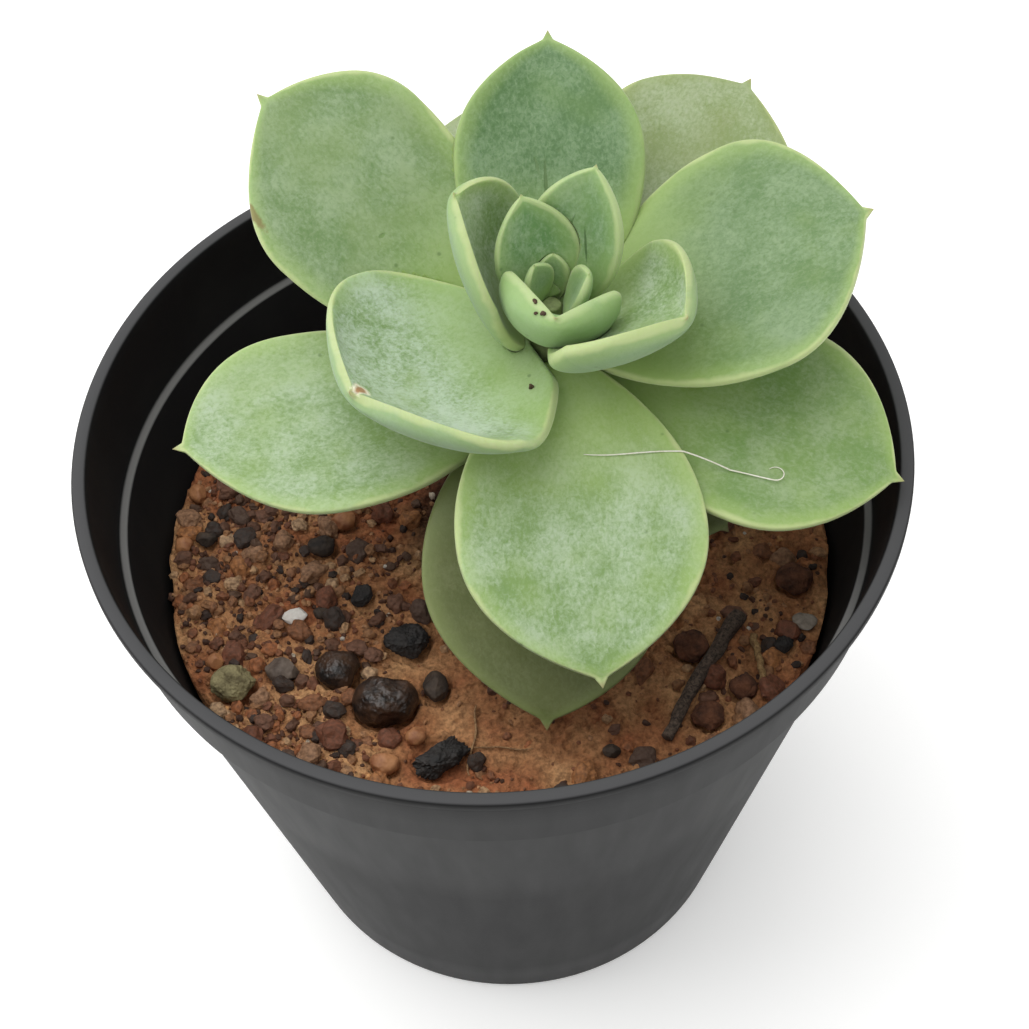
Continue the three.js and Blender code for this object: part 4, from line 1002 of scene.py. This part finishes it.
leafRule = leafTree()
leaves = []
for line in leafRows.split("\n"):
    words = line.split()
    if words:
        leaves.append((words[0], words[1], dict(zip(leafFields, map(float, words[2:])))))
grownLeaves = [leafMesh("above", row, leafShape["clearance"], None) for _, _, row in leaves]
leafPieces = {}
for order, (name, kind, row) in enumerate(leaves):  # each gives way to the leaves above it, as they grew
    finish = leafMaterial(name, kind, row["Length"])
    mesh = leafMesh(name, row, 0.0, finish)
    low, high = boxOf(mesh)
    cutters = []
    for above in grownLeaves[order + 1:]:
        otherLow, otherHigh = boxOf(above)
        if (otherLow < high).all() and (otherHigh > low).all():
            cutters.append(above)
    if cutters:
        mesh = carve(bpy.data.objects.new(name, mesh), cutters)
    leafPieces[name] = place(name + "_blade", mesh, leafLooks[kind]["slot"], [name], finish)
    print(name, len(mesh.polygons), "faces, cut by", len(cutters))
print("leaves made")

# Fine strands lying on the leaves and the soil, and crumbs caught in the heart: dropped onto what lies below.
# A strand sets off at its heading in degrees, waves once to each side and curls up towards its end.
paleHair, rootBrown = ("#D9D6C2", "#F2F0E6"), ("#7A5A3C", "#B08A60")
strands = {
    "leaf_hair": {"on": "leaves", "start": (11, -10.5), "heading": -9, "length": 27, "wave": 9, "curlFrom": 0.84,
                  "curl": 240, "radius": 0.09, "lift": 0.12, "stiff": 8, "colours": paleHair},
    "root_fibre": {"on": "soil", "start": (-3.5, -25), "heading": 250, "length": 10, "wave": 25, "curlFrom": 0.4,
                   "curl": 45, "radius": 0.16, "lift": 0.45, "stiff": 4, "colours": rootBrown},
    "root_branch": {"on": "soil", "start": (-4.5, -31), "heading": -15, "length": 8, "wave": 15, "curlFrom": 0.4,
                    "curl": 30, "radius": 0.12, "lift": 0.45, "stiff": 4, "colours": rootBrown},
}
heartCrumbs = {"count": 8, "size": 0.24, "spread": 0.4, "seed": 4, "middle": (5.8, -2.6), "strewn": (0.6, 1.3),
               "colours": ("#3A2A1C", "#5A4632")}


def surfaceOf(meshes):  # one ray-casting tree for several meshes
    points, faces = [], []
    for mesh in meshes:
        first = len(points)
        points += [v.co.copy() for v in mesh.vertices]
        faces += [[first + k for k in polygon.vertices] for polygon in mesh.polygons]
    return BVHTree.FromPolygons(points, faces)


def dropped(surface, x, y, lift):
    hit = surface.ray_cast(Vector((mm(x), mm(y), 0.2)), Vector((0, 0, -1)))[0]
    return Vector((x, y, hit.z * 1000 + lift))


def strandMesh(name, look, surface, steps=80):
    x, y = look["start"]
    line = []
    for k in range(steps + 1):
        t = k / steps
        line.append(dropped(surface, x, y, look["lift"]))
        curling = max(0, t - look["curlFrom"]) / (1 - look["curlFrom"])
        heading = math.radians(look["heading"] + look["wave"] * math.sin(2 * math.pi * t) + look["curl"] * curling)
        x += look["length"] / steps * math.cos(heading)
        y += look["length"] / steps * math.sin(heading)
    reach = look["stiff"]
    heights = [p.z for p in line]
    tops = [max(heights[max(k - reach, 0):k + reach + 1]) for k in range(len(line))]
    for k, p in enumerate(line):  # a stiff strand bridges the hollows
        near = tops[max(k - reach, 0):k + reach + 1]
        p.z = max(heights[k], sum(near) / len(near))
    return tubeMesh(name, line, lambda t: look["radius"] * (1 - 0.5 * abs(2 * t - 1) ** 3), 8, 0.1, len(name))


def crumbMesh():
    chance = random.Random(heartCrumbs["seed"])
    pile = bmesh.new()
    for _ in range(heartCrumbs["count"]):
        x, y = [chance.gauss(*pair) for pair in zip(heartCrumbs["middle"], heartCrumbs["strewn"])]
        radius = heartCrumbs["size"] * chance.uniform(1 - heartCrumbs["spread"], 1 + heartCrumbs["spread"])
        centre = dropped(plantSurface, x, y, radius * 0.6)
        ball = bmesh.ops.create_icosphere(pile, subdivisions=2, radius=mm(radius))
        for vertex in ball["verts"]:
            rough = 1 + 0.7 * noise.noise(vertex.co * 1000 / radius + centre)
            vertex.co = vertex.co * rough + centre * 0.001
    mesh = bpy.data.meshes.new("heart_crumbs")
    pile.to_mesh(mesh)
    pile.free()
    return mesh


plantSurface = surfaceOf([piece.data for piece in leafPieces.values()])
soilSurface = surfaceOf([soilBed])
for name, look in strands.items():
    surface = plantSurface if look["on"] == "leaves" else soilSurface
    place(name, strandMesh(name, look, surface), "dry_straw", (),
          stickMaterial(name.replace("_", " "), look["colours"]))
place("heart_crumbs", crumbMesh(), "potting_soil", (), stickMaterial("dark crumbs", heartCrumbs["colours"]))
print("strands and crumbs made")

# Camera, floor and light.
camera = {"aim": (2.45, 0, 74.5), "distance": 264.6, "elevation": 53.5, "roll": -2.6, "lens": 70}
studio = {"floor": "#FBFBFA", "floorGlow": 0.22, "world": 0.8, "key": 3.4, "keySize": 700, "keyPlace": (-200, 60, 760),
          "fill": 1.3, "fillSize": 500, "fillPlace": (-700, 20, 260)}


def makeCamera():
    up = math.radians(camera["elevation"])
    aim = Vector(camera["aim"]) * 0.001
    back = Vector((0, -math.cos(up), math.sin(up)))
    right = Vector((1, 0, 0))
    upward = back.cross(right)
    roll = math.radians(camera["roll"])
    right, upward = (math.cos(roll) * right + math.sin(roll) * upward,
                     math.cos(roll) * upward - math.sin(roll) * right)
    lens = bpy.data.cameras.new("camera")
    lens.lens = camera["lens"]
    lens.clip_start = 0.01
    eye = bpy.data.objects.new("camera", lens)
    turn = Matrix((right, upward, back)).transposed().to_4x4()
    eye.matrix_world = Matrix.Translation(aim + back * mm(camera["distance"])) @ turn
    bpy.context.scene.collection.objects.link(eye)
    bpy.context.scene.camera = eye


def areaLight(name, spot, size, power):
    lamp = bpy.data.lights.new(name, "AREA")
    lamp.size = mm(size)
    lamp.energy = power
    lit = bpy.data.objects.new(name, lamp)
    lit.location = Vector(spot) * 0.001
    lit.rotation_euler = (Vector((0, 0, 0.08)) - lit.location).to_track_quat("-Z", "Y").to_euler()
    bpy.context.scene.collection.objects.link(lit)


makeCamera()
areaLight("key light", studio["keyPlace"], studio["keySize"], studio["key"])
areaLight("fill light", studio["fillPlace"], studio["fillSize"], studio["fill"])
world = bpy.data.worlds.new("soft white studio")
world.use_nodes = True
world.node_tree.nodes["Background"].inputs[0].default_value = (1, 1, 1, 1)
world.node_tree.nodes["Background"].inputs[1].default_value = studio["world"]
bpy.context.scene.world = world
bpy.context.scene.view_settings.view_transform = "Standard"

floorMesh = meshOf("floor", [(-2, -2, 0), (2, -2, 0), (2, 2, 0), (-2, 2, 0)], [(0, 1, 2, 3)])
floor = bpy.data.objects.new("floor", floorMesh)
bpy.context.scene.collection.objects.link(floor)
paper, paperTree, paperShader, paperSpot = newMaterial("matte white paper sweep")
paperShader.inputs["Base Color"].default_value = linear(studio["floor"])
paperShader.inputs["Roughness"].default_value = 0.9
paperShader.inputs["Emission Color"].default_value = linear(studio["floor"])
paperShader.inputs["Emission Strength"].default_value = studio["floorGlow"]
floorMesh.materials.append(paper)

bpy.context.view_layer.update()
